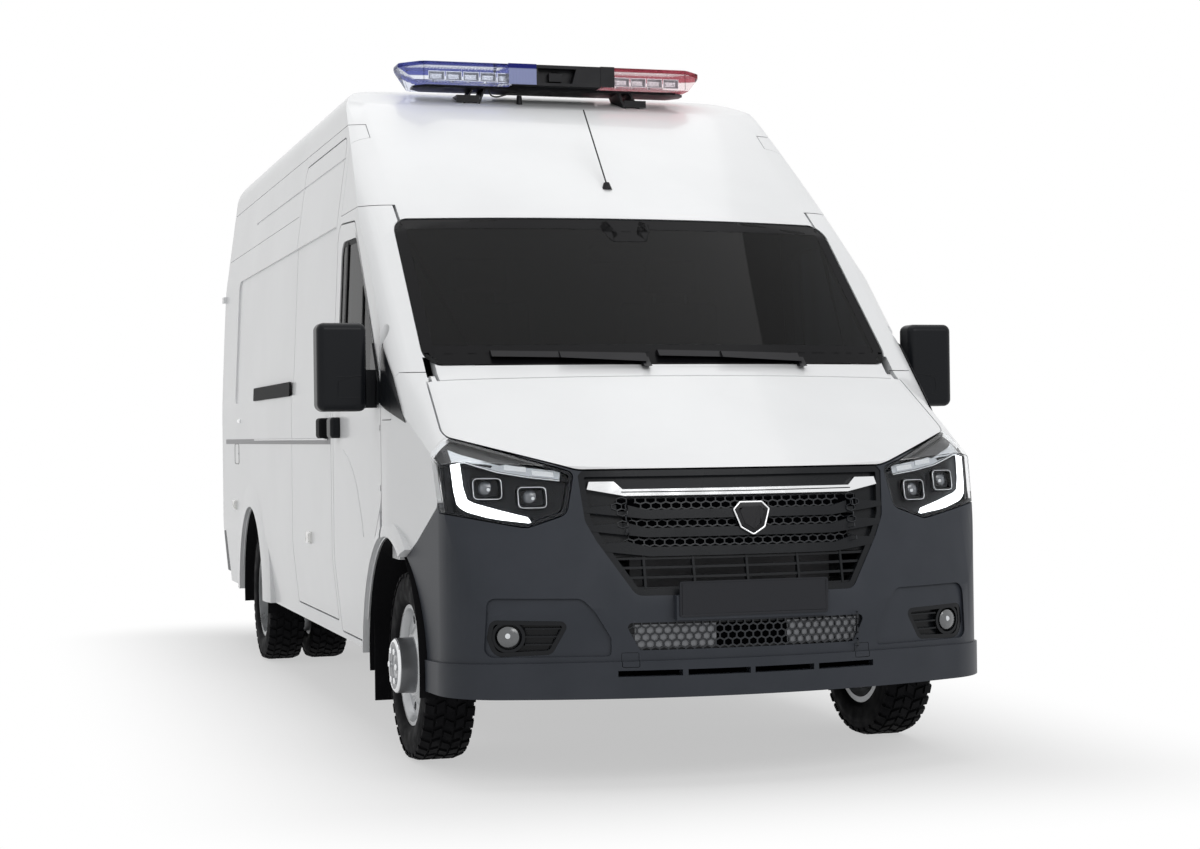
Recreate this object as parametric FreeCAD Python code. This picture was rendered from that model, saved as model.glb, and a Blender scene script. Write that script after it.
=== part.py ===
import FreeCAD, Part
import math
import os
from FreeCAD import Matrix, Placement, Rotation, Vector

# High-roof ambulance van with a long wheelbase and twin rear wheels.
# Millimetres. X runs across the van (+X is its left side), Z is up from the road.
# The van faces -Y. Every sub-part is drawn with Y = 0 at the front bumper's face
# and is then placed half the overall length forward, so the origin lies on the
# road under the middle of the van.

doc = FreeCAD.newDocument("ambulance_van")
sheet = doc.addObject("Spreadsheet::Sheet", "Sizes")

# ---------------------------------------------------------------- driving sizes
# alias, value
SIZES = [
    # whole van
    ("length", 6200), ("step_overhang", 156), ("plate_proud", 14), ("wheelbase", 3745), ("front_overhang", 967),
    ("half_width", 1034), ("sill_half_width", 1000), ("waist_half_width", 1000),
    ("roof_half_width", 912), ("sill_height", 345), ("waist_height", 2030),
    ("roof_edge_height", 2668), ("roof_rise", 72), ("wall", 50), ("roof_corner", 170),
    # nose and screen planes on the centre line
    ("press_depth", 8), ("front_flare", 58), ("rear_flare", 180), ("flare_proud", 10),
    ("nose_radius", 2150), ("nose_corner", 250), ("nose_face_top", 600),
    ("bonnet_front_y", 100), ("bonnet_front_z", 1050), ("screen_foot_y", 730),
    ("screen_foot_z", 1410), ("screen_head_y", 1400), ("screen_head_z", 2030),
    ("screen_radius", 4600), ("screen_corner", 115), ("bonnet_radius", 5600),
    ("bonnet_corner", 190), ("roof_front_slope", 35.5), ("roof_front_blend", 2500),
    ("rear_corner", 70), ("rear_lean", 45),
    # running gaps and fits
    ("door_gap", 7), ("trim_gap", 4), ("lid_gap", 6), ("seat_gap", 0.3), ("pin_gap", 0.1),
    # wheels
    ("tyre_radius", 342), ("tyre_width", 188), ("rim_radius", 205), ("rim_lip", 219),
    ("front_wheel_x", 875), ("rear_outer_x", 895), ("rear_inner_x", 665),
    ("kingpin_x", 788), ("arch_radius", 466), ("hub_radius", 85), ("disc_radius", 145),
    # front doors
    ("door_front_y", 1060), ("door_rear_y", 2100), ("door_top_z", 2040),
    ("door_hinge_in", 14), ("door_hinge_back", 14), ("pane", 5), ("pane_depth", 6),
    # load doors
    ("slide_front_y", 2160), ("slide_rear_y", 3250), ("slide_top_z", 2416),
    ("rear_door_half", 930), ("rear_door_foot", 640), ("rear_door_head", 2470),
    ("rear_hinge_x", 985), ("rear_hinge_out", 10), ("roof_joint_z", 2470),
    # floor and frame
    ("floor_top", 720), ("floor_thick", 55), ("rail_x", 420), ("rail_width", 70),
    ("rail_height", 140), ("rail_front_y", 246), ("pad_thick", 8), ("bulkhead_thick", 30),
    # light bar
    ("blade_height", 30), ("badge_x", 28),
    ("bar_y", 2450), ("bar_half", 685), ("bar_width", 290), ("bar_foot_z", 2676),
    ("bar_height", 100), ("bar_centre_half", 215), ("tray_thick", 10),
]
for row, (alias, value) in enumerate(SIZES, start=1):
    sheet.set("A%d" % row, alias)
    sheet.set("B%d" % row, str(value))
    sheet.setAlias("B%d" % row, alias)
doc.recompute()


def size(alias):
    return float(sheet.get(alias))


length = size("length")
plate_proud = size("plate_proud")
step_rear = length - plate_proud
body_rear = step_rear - size("step_overhang")
front_axle = size("front_overhang")
rear_axle = front_axle + size("wheelbase")
wall = size("wall")
gap = size("door_gap")
fit = size("seat_gap")
parts = []


def place(shape):
    """Origin under the middle of the van, on the road."""
    return shape


def add(label, shapes):
    """One sub-part from one or more shapes drawn in the van's own frame."""
    if not isinstance(shapes, (list, tuple)):
        shapes = [shapes]
    solids = []
    for shape in shapes:
        solids.extend(shape.Solids)
    obj = doc.addObject("Part::Feature", label)
    obj.Label = label
    obj.Shape = solids[0] if len(solids) == 1 else Part.makeCompound(solids)
    obj.Placement = Placement(Vector(0, plate_proud - length / 2, 0), Rotation()).multiply(obj.Placement)
    parts.append(obj)
    return obj


# ------------------------------------------------------------- outlines, prisms
def loop(corners):
    """Closed wire in the XY plane from corners (u, v, corner radius)."""
    points = [Vector(u, v, 0) for u, v, radius in corners]
    ends = []
    for i, (u, v, radius) in enumerate(corners):
        here = points[i]
        back = (points[i - 1] - here).normalize()
        ahead = (points[(i + 1) % len(points)] - here).normalize()
        half = back.getAngle(ahead) / 2
        if radius <= 0 or half > math.pi / 2 - 1e-6:
            ends.append((here, here, None))
            continue
        reach = radius / math.tan(half)
        inward = (back + ahead).normalize()
        centre = here + inward * (radius / math.sin(half))
        ends.append((here + back * reach, here + ahead * reach, centre - inward * radius))
    edges = []
    for i, (start, finish, middle) in enumerate(ends):
        if middle is not None:
            edges.append(Part.Arc(start, middle, finish).toShape())
        following = ends[(i + 1) % len(ends)][0]
        if (following - finish).Length > 1e-6:
            edges.append(Part.LineSegment(finish, following).toShape())
    return Part.Wire(Part.__sortEdges__(edges))


def both_sides(half):
    """Mirror a half outline, listed from the bottom up or from outside in, about u = 0."""
    mirrored = [(-u, v, radius) for u, v, radius in reversed(half) if abs(u) > 1e-6]
    return list(half) + mirrored


def frame(origin, across, up):
    across = Vector(across)
    up = Vector(up)
    normal = across.cross(up)
    return Matrix(across.x, up.x, normal.x, origin[0], across.y, up.y, normal.y, origin[1],
                  across.z, up.z, normal.z, origin[2], 0, 0, 0, 1)


def extruded(corners, depth, matrix, inset=0):
    wire = loop(corners)
    if inset:
        wire = wire.makeOffset2D(-inset)
    return Part.Face(wire).extrude(Vector(0, 0, depth)).transformed(matrix)


def side_prism(corners, side=0, grow=0):
    """Outline in Y, Z carried across the van: side -1 right half, 1 left half, 0 both."""
    start = {-1: -1500, 0: -1500, 1: 0}[side]
    depth = 3000 if side == 0 else 1500
    return extruded(corners, depth, frame((start, 0, 0), (0, 1, 0), (0, 0, 1)), -grow)


def front_prism(corners, near, far, grow=0):
    """Outline in X, Z carried along Y from near to far."""
    return extruded(corners, far - near, frame((0, far, 0), (1, 0, 0), (0, 0, 1)), -grow)


def plan_prism(corners, low, high, grow=0):
    """Outline in X, Y carried up from low to high."""
    return extruded(corners, high - low, frame((0, 0, low), (1, 0, 0), (0, 1, 0)), -grow)


def box(x0, x1, y0, y1, z0, z1):
    return Part.makeBox(x1 - x0, y1 - y0, z1 - z0, Vector(x0, y0, z0))


def rod(start, finish, radius):
    start = Vector(start)
    finish = Vector(finish)
    return Part.makeCylinder(radius, (finish - start).Length, start, finish - start)


def joined(shapes):
    shape = shapes[0]
    if len(shapes) > 1:
        shape = shape.multiFuse(shapes[1:])
    return shape


def mirrored(shape):
    return shape.mirror(Vector(0, 0, 0), Vector(1, 0, 0))


# -------------------------------------------------------------- the body's form
def slope_block(foot_y, foot_z, degrees, radius, half, corner, inset):
    """Endless rounded block whose front face climbs at an angle through a point."""
    angle = math.radians(degrees)
    inward = Vector(0, math.sin(angle), -math.cos(angle))
    across = Vector(1, 0, 0)
    along = across.cross(inward)
    crown = math.asin(0.8 * half / radius)
    peak = -radius * (1 / math.cos(crown) - 1)
    edge = peak + half * math.tan(crown)
    outline = both_sides([(half, 6000, 0), (half, edge, corner), (0, peak, radius)])
    origin = Vector(0, foot_y, foot_z) - along * 6000
    return extruded(outline, 12000, frame(origin, across, inward), inset)


def body_form(inset):
    """The closed outer form of the body, moved inward by the inset."""
    wide = size("half_width")
    roof_slope = math.atan2(2 * size("roof_rise"), size("roof_half_width"))
    roof_line = size("roof_half_width") / math.cos(roof_slope) - size("roof_corner")
    # cross-section: sill, waist, upper side, roof edge, crown
    section = both_sides([
        (size("sill_half_width"), size("sill_height") - 700, 0),
        (size("sill_half_width"), size("sill_height"), 900),
        (wide, size("sill_height") + 330, 900),
        (wide, 1330, 1600),
        (size("waist_half_width"), size("waist_height"), 900),
        (size("roof_half_width"), size("roof_edge_height"), size("roof_corner")),
        (0, size("roof_edge_height") + 2 * size("roof_rise"), roof_line / math.tan(roof_slope)),
    ])
    section_prism = extruded(section, 7600, frame((0, 7000, 0), (1, 0, 0), (0, 0, 1)), inset)
    # plan: rear corner, side, nose corner, nose
    corner_y = size("nose_corner") * 0.85
    nose = size("nose_radius")
    plan = both_sides([
        (wide + 5, body_rear, size("rear_corner")),
        (wide + 5, 1000, 2500),
        (0.93 * wide, corner_y, size("nose_corner")),
        (0, -0.0625 * nose, nose),
    ])
    plan_form = extruded(plan, 4200, frame((0, 0, -700), (1, 0, 0), (0, 1, 0)), inset)
    # side profile: rear lean, roof line and the blend down to the screen
    slope = math.tan(math.radians(size("roof_front_slope")))
    top = size("roof_edge_height") + size("roof_rise") + 12
    head_y = size("screen_head_y")
    head_z = size("screen_head_z")
    blend_y = head_y + (top - head_z) / slope
    rear_low = body_rear + size("rear_lean") * (1300 + 900) / (top - 1300)
    profile = [
        (-1500, -900, 0), (rear_low, -900, 0), (body_rear - size("rear_lean"), top, 120),
        (blend_y, top, size("roof_front_blend")),
        (-1500, head_z - (head_y + 1500) * slope, 0),
    ]
    profile_prism = extruded(profile, 3200, frame((-1600, 0, 0), (0, 1, 0), (0, 0, 1)), inset)
    # raked faces: nose, bonnet, windscreen, roof front
    bonnet_slope = math.degrees(math.atan2(size("screen_foot_z") - size("bonnet_front_z"),
                                           size("screen_foot_y") - size("bonnet_front_y")))
    screen_slope = math.degrees(math.atan2(head_z - size("screen_foot_z"),
                                           head_y - size("screen_foot_y")))
    nose_slope = math.degrees(math.atan2(size("bonnet_front_z") - size("nose_face_top"),
                                         size("bonnet_front_y")))
    nose_block = slope_block(0, size("nose_face_top"), nose_slope, nose, wide + 12,
                             size("nose_corner"), inset)
    bonnet_block = slope_block(size("bonnet_front_y"), size("bonnet_front_z"), bonnet_slope,
                               size("bonnet_radius"), wide + 12, size("bonnet_corner"), inset)
    screen_block = slope_block(size("screen_foot_y"), size("screen_foot_z"), screen_slope,
                               size("screen_radius"), wide + 12, size("screen_corner"), inset)
    roof_block = slope_block(head_y, head_z, size("roof_front_slope"), size("screen_radius"),
                             wide + 12, size("screen_corner") + 60, inset)
    front = bonnet_block.fuse(screen_block.common(roof_block))
    form = section_prism.common(plan_form).common(profile_prism).common(nose_block)
    form = form.common(front)
    return form.Solids[0]


forms = {}


def form(inset):
    if inset not in forms:
        forms[inset] = body_form(inset)
    return forms[inset]


inside = form(wall + fit)


def panel(outline, outer=0, inner=None):
    """The body's skin between two depths, inside one closed outline."""
    inner = wall if inner is None else inner
    return form(outer).common(outline).cut(form(inner))


# ------------------------------------------------------------ outlines of panels
y_door = size("door_front_y")
y_door_rear = size("door_rear_y")
z_top = size("door_top_z")
z_sill = size("sill_height")
wheel_z = size("tyre_radius")
arch = size("arch_radius")
slide_front = size("slide_front_y")
slide_rear = size("slide_rear_y")
slide_top = size("slide_top_z")
roof_joint = size("roof_joint_z")

# the front door as seen from the side, clockwise from its lower front corner
DOOR = [
    (front_axle + arch + 42, z_sill + 30, 20), (front_axle + arch + 30, wheel_z + 190, 200),
    (y_door, wheel_z + arch + 130, 120), (y_door, 1372, 60),
    (y_door + 660, z_top - 20, 90), (y_door_rear, z_top, 70), (y_door_rear, z_sill + 30, 20),
]
# its window, behind the fixed corner piece that carries the mirror
DOOR_GLASS = [
    (y_door + 75, 1350, 30), (y_door + 75, 1410, 30), (y_door + 620, z_top - 85, 60),
    (y_door_rear - 95, z_top - 78, 60), (y_door_rear - 95, 1350, 40),
]
SLIDE_DOOR = [
    (slide_front, z_sill + 70, 20), (slide_front, slide_top, 60), (slide_rear, slide_top, 60),
    (slide_rear, z_sill + 70, 20),
]
# windscreen as seen from the front
SCREEN = both_sides([(905, 1422, 60), (893, 2012, 60)])
# bonnet as seen from the front
BONNET = both_sides([(545, 1052, 120), (930, 1168, 30), (903, 1460, 0)])
# its rear edge as seen from above, following the foot of the screen
BONNET_PLAN = both_sides([(1100, -300, 0), (1100, 840, 0), (0, 575, 3200)])
# one headlamp as seen from the front and from the side
LAMP = [(560, 1040, 20), (590, 905, 40), (718, 862, 60), (1060, 930, 0), (1060, 1208, 0)]
LAMP_REAR = [(-100, 700, 0), (250, 700, 0), (352, 925, 60), (470, 1190, 0), (-100, 1190, 0)]
GRILLE = both_sides([(384, 636, 40), (498, 812, 40), (532, 880, 60), (545, 1030, 10),
                     (530, 1046, 10)])
# pressings in the side: blank window recess, belt swage and upper swage
RECESS = [(2135, 1365, 40), (5380, 1365, 40), (5380, 2045, 60), (2135, 2045, 60)]
BELT = [(5700, 1158, 0), (5700, 1170, 0), (2030, 1170, 260), (1747, 1086, 200),
        (1570, 991, 200), (1480, 868, 0), (1468, 868, 0), (1560, 979, 200), (1740, 1074, 200),
        (2026, 1158, 260)]
SWAGE = [(2135, 2318, 5), (4900, 2318, 5), (4900, 2330, 5), (2135, 2330, 5)]
SEAM = [(slide_rear + 60, 2199, 0), (5960, 2199, 0), (5960, 2203, 0), (slide_rear + 60, 2203, 0)]


def body_sides(shape):
    return [shape, mirrored(shape)]


def wheel_well(axle, grow=0):
    centre = Vector(-1500, axle, wheel_z)
    return Part.makeCylinder(arch + grow, 3000, centre, Vector(1, 0, 0))


# hinge line of the front door: vertical, just inside the skin
hinge_x = size("half_width") - size("door_hinge_in")
hinge_y = y_door + size("door_hinge_back")
hinge_reach = math.hypot(size("door_hinge_in"), size("door_hinge_back"))


def hinge_bead(radius):
    return Part.makeCylinder(radius, 1100, Vector(hinge_x, hinge_y, 700), Vector(0, 0, 1))


def pressings():
    """What the press pushes inward on both sides of the van."""
    depth = size("press_depth")
    blank = panel(side_prism(RECESS, 0), -1, depth)
    lines = [panel(side_prism(outline, 0), -1, depth / 2) for outline in (BELT, SWAGE, SEAM)]
    return joined([blank] + lines)


def flare(axle, reach, proud):
    """Raised lip turned about a wheel's axle, on the van's left."""
    wide = size("half_width")
    profile = [(wide - 60, arch), (wide + proud, arch), (wide + proud, arch + 16),
               (wide + proud * 0.5, arch + reach * 0.6), (wide - 6, arch + reach),
               (wide - 60, arch + reach)]
    wire = Part.makePolygon([Vector(u, 0, v) for u, v in profile + profile[:1]])
    ring = Part.Face(wire).revolve(Vector(0, 0, 0), Vector(1, 0, 0), 360)
    ring.translate(Vector(0, axle, wheel_z))
    return ring.common(box(900, 1100, axle - 900, axle + 900, z_sill, 1400)).cut(form(20))


# ---------------------------------------------------------------- outer panels
front_wells = wheel_well(front_axle)
rear_wells = wheel_well(rear_axle)
left_of_centre = box(0, 1500, -500, 7000, 200, 3200)
over_sill = box(-1500, 1500, -500, 7000, z_sill, 3200)
door_hole = side_prism(DOOR, 1, gap)
slide_hole = side_prism(SLIDE_DOOR, 1, gap)
screen_hole = front_prism(SCREEN, 400, 2200, -26)
screen_seat = front_prism(SCREEN, 400, 2200, 3)
rear_door_half = size("rear_door_half")
rear_foot = size("rear_door_foot")
rear_head = size("rear_door_head")
REAR_DOORS = both_sides([(rear_door_half, rear_foot, 40), (rear_door_half, 2100, 600),
                         (rear_door_half - 70, rear_head, 80)])
rear_hole = front_prism(REAR_DOORS, body_rear - 400, body_rear + 200, gap)

# one side wall: everything behind the front door, with the windscreen pillar,
# the rail over the door and the sill under it
SIDE = [
    (650, 1398, 0), (1200, 2075, 0), (y_door_rear - 30, 2075, 0),
    (y_door_rear - 30, roof_joint, 0), (6300, roof_joint, 0), (6300, z_sill, 0),
    (front_axle + arch - 60, z_sill, 0), (front_axle + arch - 60, wheel_z + 200, 0),
    (y_door - 30, wheel_z + arch + 40, 0), (y_door - 30, 1230, 0), (y_door - 170, 1230, 0),
    (y_door - 170, 1398, 0),
]
BUMPER = [
    (-200, 305, 0), (440, 305, 50), (560, 480, 0), (740, 740, 10), (600, 800, 60),
    (365, 930, 30), (365, 1100, 0), (-200, 1100, 0),
]
bead_clear = hinge_bead(hinge_reach + gap - 1)
rear_corner_cut = box(-1500, 1500, body_rear - 140, 7000, 0, rear_foot - 3)
header = box(-864, 864, 1000, 1900, 2000, 2080)
cowl_room = box(-908, 908, 400, 1000, 1290, 1452)


pressed = pressings()
front_lip = flare(front_axle, size("front_flare"), size("flare_proud") * 0.6)


def side_wall():
    wall_side = panel(side_prism(SIDE, 1)).common(box(872, 1500, -500, 7000, 0, 3200))
    wall_side = wall_side.cut(pressed)
    proud = size("flare_proud")
    wall_side = wall_side.fuse(flare(rear_axle, size("rear_flare"), proud))
    wall_side = wall_side.fuse(front_lip.common(side_prism(SIDE, 1)))
    for cutter in (door_hole, bead_clear, rear_wells, screen_hole, rear_corner_cut, header,
                   cowl_room, rear_hole, wheel_well(front_axle, 8)):
        wall_side = wall_side.cut(cutter)
    wall_side = wall_side.cut(panel(screen_seat, -5, 4 + size("pane") + fit))
    # post behind the door's front edge, with a bracket and pin for each hinge
    post_x = size("half_width") - wall - gap
    post = box(post_x - 50, post_x, y_door - 45, y_door + 90, size("floor_top"), 1300)
    foot = box(post_x - 50, size("half_width") - 25 - fit, y_door - 45, y_door - 22, 900,
               1226)
    pieces = [wall_side, post, foot]
    for hinge_z in HINGES:
        arm = box(post_x - 5, hinge_x, hinge_y - 7, hinge_y + 7, hinge_z - 5, hinge_z + 5)
        barrel = rod((hinge_x, hinge_y, hinge_z - 5), (hinge_x, hinge_y, hinge_z + 5), 7)
        pin = rod((hinge_x, hinge_y, hinge_z), (hinge_x, hinge_y, hinge_z + 26), 4)
        pieces += [arm, barrel, pin]
    # knuckles and pins of the load door's outside hinges
    for hinge_z in REAR_HINGES:
        low = hinge_z - 34
        hinge_axis = (rear_hinge_x, rear_hinge_y)
        barrel = rod(hinge_axis + (low,), hinge_axis + (hinge_z,), hinge_radius)
        pin = rod(hinge_axis + (low,), hinge_axis + (hinge_z + 24,), 5)
        leaf = box(rear_hinge_x - 8, rear_hinge_x + 34, body_rear - 62, rear_hinge_y + 4,
                   low, hinge_z).cut(form(2))
        pieces += [barrel, pin, biggest(leaf)]
    return joined(pieces)


HINGES = [980, 1200]
REAR_HINGES = [710, 1400, 2000]
hinge_radius = 10
rear_hinge_x = size("rear_hinge_x")
rear_hinge_y = body_rear + size("rear_hinge_out")


def front_door():
    door = panel(side_prism(DOOR, 1)).cut(pressed)
    ahead = box(900, 1200, 500, hinge_y, 700, 1500)
    door = door.cut(ahead.cut(hinge_bead(hinge_reach)))
    door = door.cut(side_prism(DOOR_GLASS, 1, -10))
    seat = panel(side_prism(DOOR_GLASS, 1, fit), -5, size("pane_depth") + size("pane") + fit)
    door = door.cut(seat)
    for hinge_z in HINGES:
        low, high = hinge_z - 11, hinge_z + 11
        notch = rod((hinge_x, hinge_y, low), (hinge_x, hinge_y, high), 15)
        pocket = box(900, hinge_x, y_door - 20, hinge_y + 12, low, high)
        bore = rod((hinge_x, hinge_y, low), (hinge_x, hinge_y, hinge_z + 28),
                   4 + size("pin_gap"))
        door = door.cut(notch).cut(pocket).cut(bore)
    return door


def door_pane():
    pane = panel(side_prism(DOOR_GLASS, 1), size("pane_depth"),
                 size("pane_depth") + size("pane"))
    return pane


def door_fittings():
    """Mirror on its arm, the sail it stands on and the pull handle."""
    head = box(1080, 1262, y_door, y_door + 115, 1262, 1585)
    head = head.makeFillet(28, head.Edges)
    arm = box(1030, 1100, y_door + 60, y_door + 105, 1275, 1415).cut(form(-fit))
    sail = panel(side_prism([(y_door + 22, 1285, 8), (y_door + 22, 1372, 8),
                             (y_door + 175, 1530, 8), (y_door + 175, 1285, 8)], 1), -8, -fit)
    handle = box(1026, 1074, y_door_rear - 175, y_door_rear - 75, 1165, 1250)
    handle = handle.makeFillet(14, handle.Edges).cut(form(-fit))
    return [sail.fuse(arm).fuse(head), handle]


BONNET_PIVOT = (860, 1370)


def bonnet():
    lid = panel(front_prism(BONNET, -300, 900).common(plan_prism(BONNET_PLAN, 900, 1500)), 0, 25)
    pivot_y, pivot_z = BONNET_PIVOT
    for sign in (-1, 1):
        near, far = sorted((sign * 878, sign * 894))
        ear = side_prism([(pivot_y - 118, pivot_z - 79, 0), (pivot_y + 12, pivot_z - 14, 10),
                          (pivot_y + 12, pivot_z + 12, 10), (pivot_y - 20, pivot_z + 12, 0),
                          (pivot_y - 118, pivot_z - 34, 0)])
        ear = ear.common(box(near, far, 0, 1000, 1200, 1500)).common(form(6))
        pin = rod((sign * 884, pivot_y, pivot_z), (sign * 938, pivot_y, pivot_z), 7)
        lid = lid.fuse(ear).fuse(pin)
    return lid


def front_wing():
    region = side_prism([(200, 545, 0), (1500, 545, 0), (1500, 1227, 0), (y_door - 173, 1227, 0),
                         (y_door - 173, 1395, 0), (200, 1395, 0)], 1)
    wing = panel(region, 0, 25).common(box(300, 1500, -500, 3000, 0, 3200))
    wing = wing.fuse(front_lip.common(region))
    for cutter in (door_hole, bead_clear, wheel_well(front_axle), side_prism(BUMPER, 1, 4),
                   bonnet_hole, lamp_hole, cowl_room, side_prism(SIDE, 1)):
        wing = wing.cut(cutter)
    pivot_y, pivot_z = BONNET_PIVOT
    lug = box(915, 960, pivot_y - 22, pivot_y + 22, pivot_z - 30, pivot_z + 24).common(form(6))
    bore = rod((900, pivot_y, pivot_z), (944, pivot_y, pivot_z), 7 + size("pin_gap"))
    return biggest(wing.fuse(lug).cut(bonnet_hole).cut(bore))


def biggest(shape):
    return max(shape.Solids, key=lambda solid: solid.Volume)


trim_gap = size("trim_gap")
lid_gap = size("lid_gap")
bonnet_hole = front_prism(BONNET, -300, 900, lid_gap)
bonnet_hole = bonnet_hole.common(plan_prism(BONNET_PLAN, 900, 1500, lid_gap))
lamp_hole = front_prism(LAMP, -300, 700, trim_gap)
lamp_hole = lamp_hole.common(side_prism(LAMP_REAR, 1, trim_gap))
lamp_form = front_prism(LAMP, -300, 700).common(side_prism(LAMP_REAR, 1))

left_wall = side_wall()
add("side_wall_left", left_wall)
right_wall = mirrored(left_wall).cut(mirrored(slide_hole))
add("side_wall_right", right_wall)
left_door = front_door()
left_pane = door_pane()
left_fittings = door_fittings()
for side_name, turn in (("left", lambda piece: piece), ("right", mirrored)):
    add("door_" + side_name, turn(left_door))
    add("door_glass_" + side_name, turn(left_pane))
    add("door_fittings_" + side_name, [turn(piece) for piece in left_fittings])
slider = panel(side_prism(SLIDE_DOOR, 1)).cut(pressed)
add("sliding_door", mirrored(slider))
add("bonnet", bonnet())
wing = front_wing()
add("front_wings", [wing, mirrored(wing)])


# -------------------------------------------------------- roof, screen and cowl
ROOF = [
    (900, 2078, 0), (y_door_rear - 33, 2078, 0), (y_door_rear - 33, roof_joint + 3, 0),
    (6300, roof_joint + 3, 0), (6300, 3000, 0), (900, 3000, 0),
]
roof = panel(joined([side_prism(ROOF, 0), box(-861, 861, 1000, 1900, 1990, 2090),
                     box(-869, 869, 1500, 3000, 2078, roof_joint + 50)]))
pane_seat = panel(screen_seat, -5, 4 + size("pane") + fit)
roof = biggest(roof.cut(screen_hole).cut(pane_seat).cut(rear_hole))
add("roof", roof)
cowl = panel(box(-870, 870, 400, 1000, 1290, 1450)).cut(screen_hole).cut(pane_seat)
cowl = cowl.cut(bonnet_hole)
add("cowl", biggest(cowl))
add("windscreen", panel(front_prism(SCREEN, 400, 2200), 4, 4 + size("pane")))

# ------------------------------------------------------------------- load doors
half_hole = box(trim_gap, 1500, 5000, 7000, 0, 3200)
REAR_GLASS = [(130, 1450, 50), (790, 1450, 50), (770, 2080, 50), (130, 2080, 50)]
rear_door = panel(front_prism(REAR_DOORS, body_rear - 400, body_rear + 200)).common(half_hole)
rear_pane_hole = front_prism(REAR_GLASS, body_rear - 400, body_rear + 200, -10)
rear_pane_form = front_prism(REAR_GLASS, body_rear - 400, body_rear + 200)
rear_pane_seat = front_prism(REAR_GLASS, body_rear - 400, body_rear + 200, fit)
pane_back = size("pane_depth") + size("pane")
rear_door = rear_door.cut(rear_pane_hole).cut(panel(rear_pane_seat, -5, pane_back + fit))
rear_pane = panel(rear_pane_form, size("pane_depth"), pane_back)
for hinge_z in REAR_HINGES:
    barrel = rod((rear_hinge_x, rear_hinge_y, hinge_z + fit),
                 (rear_hinge_x, rear_hinge_y, hinge_z + 34), hinge_radius)
    leaf = box(rear_door_half - 60, rear_hinge_x, body_rear - 70, rear_hinge_y + 4,
               hinge_z + fit, hinge_z + 34).cut(form(2))
    leaf = leaf.cut(box(rear_door_half - 12, 1100, 5000, body_rear + 1.5, 0, 3000))
    bore = rod((rear_hinge_x, rear_hinge_y, hinge_z - 5),
               (rear_hinge_x, rear_hinge_y, hinge_z + 26), 5 + size("pin_gap"))
    rear_door = rear_door.fuse(biggest(leaf)).fuse(barrel).cut(bore)
for side_name, turn in (("left", lambda piece: piece), ("right", mirrored)):
    add("rear_door_" + side_name, turn(rear_door))
    add("rear_glass_" + side_name, turn(rear_pane))

# ------------------------------------------------------------------- front end
INTAKE = both_sides([(378, 458, 15), (426, 548, 15)])
CORNER_PRESS = [(868, 440, 30), (470, 440, 15), (470, 500, 30), (520, 585, 40), (560, 630, 40),
                (856, 633, 30)]
FOG = [(655, 448, 30), (835, 440, 40), (856, 500, 30), (846, 562, 25), (596, 556, 20)]
FOG_LAMP = (789, 506)
CHIN = [(-200, 302, 0), (700, 302, 0), (700, 402, 0), (-200, 430, 0)]
SLOTS = [(-452, -240), (-222, -8), (8, 222), (240, 452)]
TOW_EYE_X = 410
intake_hole = front_prism(INTAKE, -300, 500)
grille_form = front_prism(GRILLE, -300, 300)
bumper = panel(side_prism(BUMPER, 0), 0, 30)
for cutter in (front_prism(GRILLE, -300, 300, fit), lamp_hole, mirrored(lamp_hole),
               bonnet_hole, wheel_well(front_axle, 8), intake_hole):
    bumper = bumper.cut(cutter)
# the lower lip stands proud; the corner panels and tow-eye covers are let in
lip_form = panel(side_prism(CHIN, 0), -9, 25).cut(wheel_well(front_axle, 8))
bumper = bumper.fuse(lip_form)
corner = panel(front_prism(CORNER_PRESS, -300, 700), -20, 9)
bumper = bumper.cut(corner).cut(mirrored(corner))
for low_x, high_x in SLOTS:
    bumper = bumper.cut(box(low_x, high_x, -100, 90, 373, 393))
for sign in (-1, 1):
    cover = [(sign * TOW_EYE_X - 29, 403, 6), (sign * TOW_EYE_X + 29, 403, 6),
             (sign * TOW_EYE_X + 29, 452, 6), (sign * TOW_EYE_X - 29, 452, 6)]
    groove = front_prism(cover, -300, 300).cut(front_prism(cover, -300, 300, -2))
    bumper = bumper.cut(panel(groove, -20, 3))
fog_hole = front_prism(FOG, -300, 500)
bumper = bumper.cut(fog_hole).cut(mirrored(fog_hole))
plate_holder = box(-265, 275, -plate_proud, 90, 556, 692).cut(form(8))
plate_holder = plate_holder.cut(front_prism(GRILLE, -300, 300, fit))
bumper = bumper.fuse(plate_holder)
for sign in (-1, 1):
    near, far = sorted((sign * 395, sign * 445))
    bumper = bumper.fuse(box(near, far, 80, size("rail_front_y") - fit, 560, 630))
add("front_bumper", biggest(bumper))

surround = panel(grille_form, 3, 33).cut(front_prism(GRILLE, -300, 300, -20))
# three broad blades, each with its ends turned up to the surround
BLADES = [900, 840, 778]
blade_half = size("blade_height") / 2
pieces = [surround]
for blade_z in BLADES:
    outline = both_sides([(330, blade_z - blade_half, 0), (540, blade_z + 10, 0),
                          (540, blade_z + 10 + blade_half, 0), (400, blade_z + 34, 0),
                          (330, blade_z + blade_half, 0)])
    pieces.append(panel(front_prism(outline, -300, 300).common(grille_form), 1, 26))
# plate behind them, its honeycomb left to the finish, and the open lower grid
backing = front_prism([(-560, 762, 0), (560, 762, 0), (560, 1040, 0), (-560, 1040, 0)], -300, 300)
pieces.append(panel(backing.common(grille_form), 20, 26))
for bar_z in (655, 690, 722, 752):
    pieces.append(panel(box(-560, 560, -300, 300, bar_z, bar_z + 8).common(grille_form), 10, 24))
for bar_x in (-350, -185, 0, 185, 350):
    pieces.append(panel(box(bar_x - 4, bar_x + 4, -300, 300, 645, 770).common(grille_form),
                        8, 26))
grille = joined(pieces)
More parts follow.
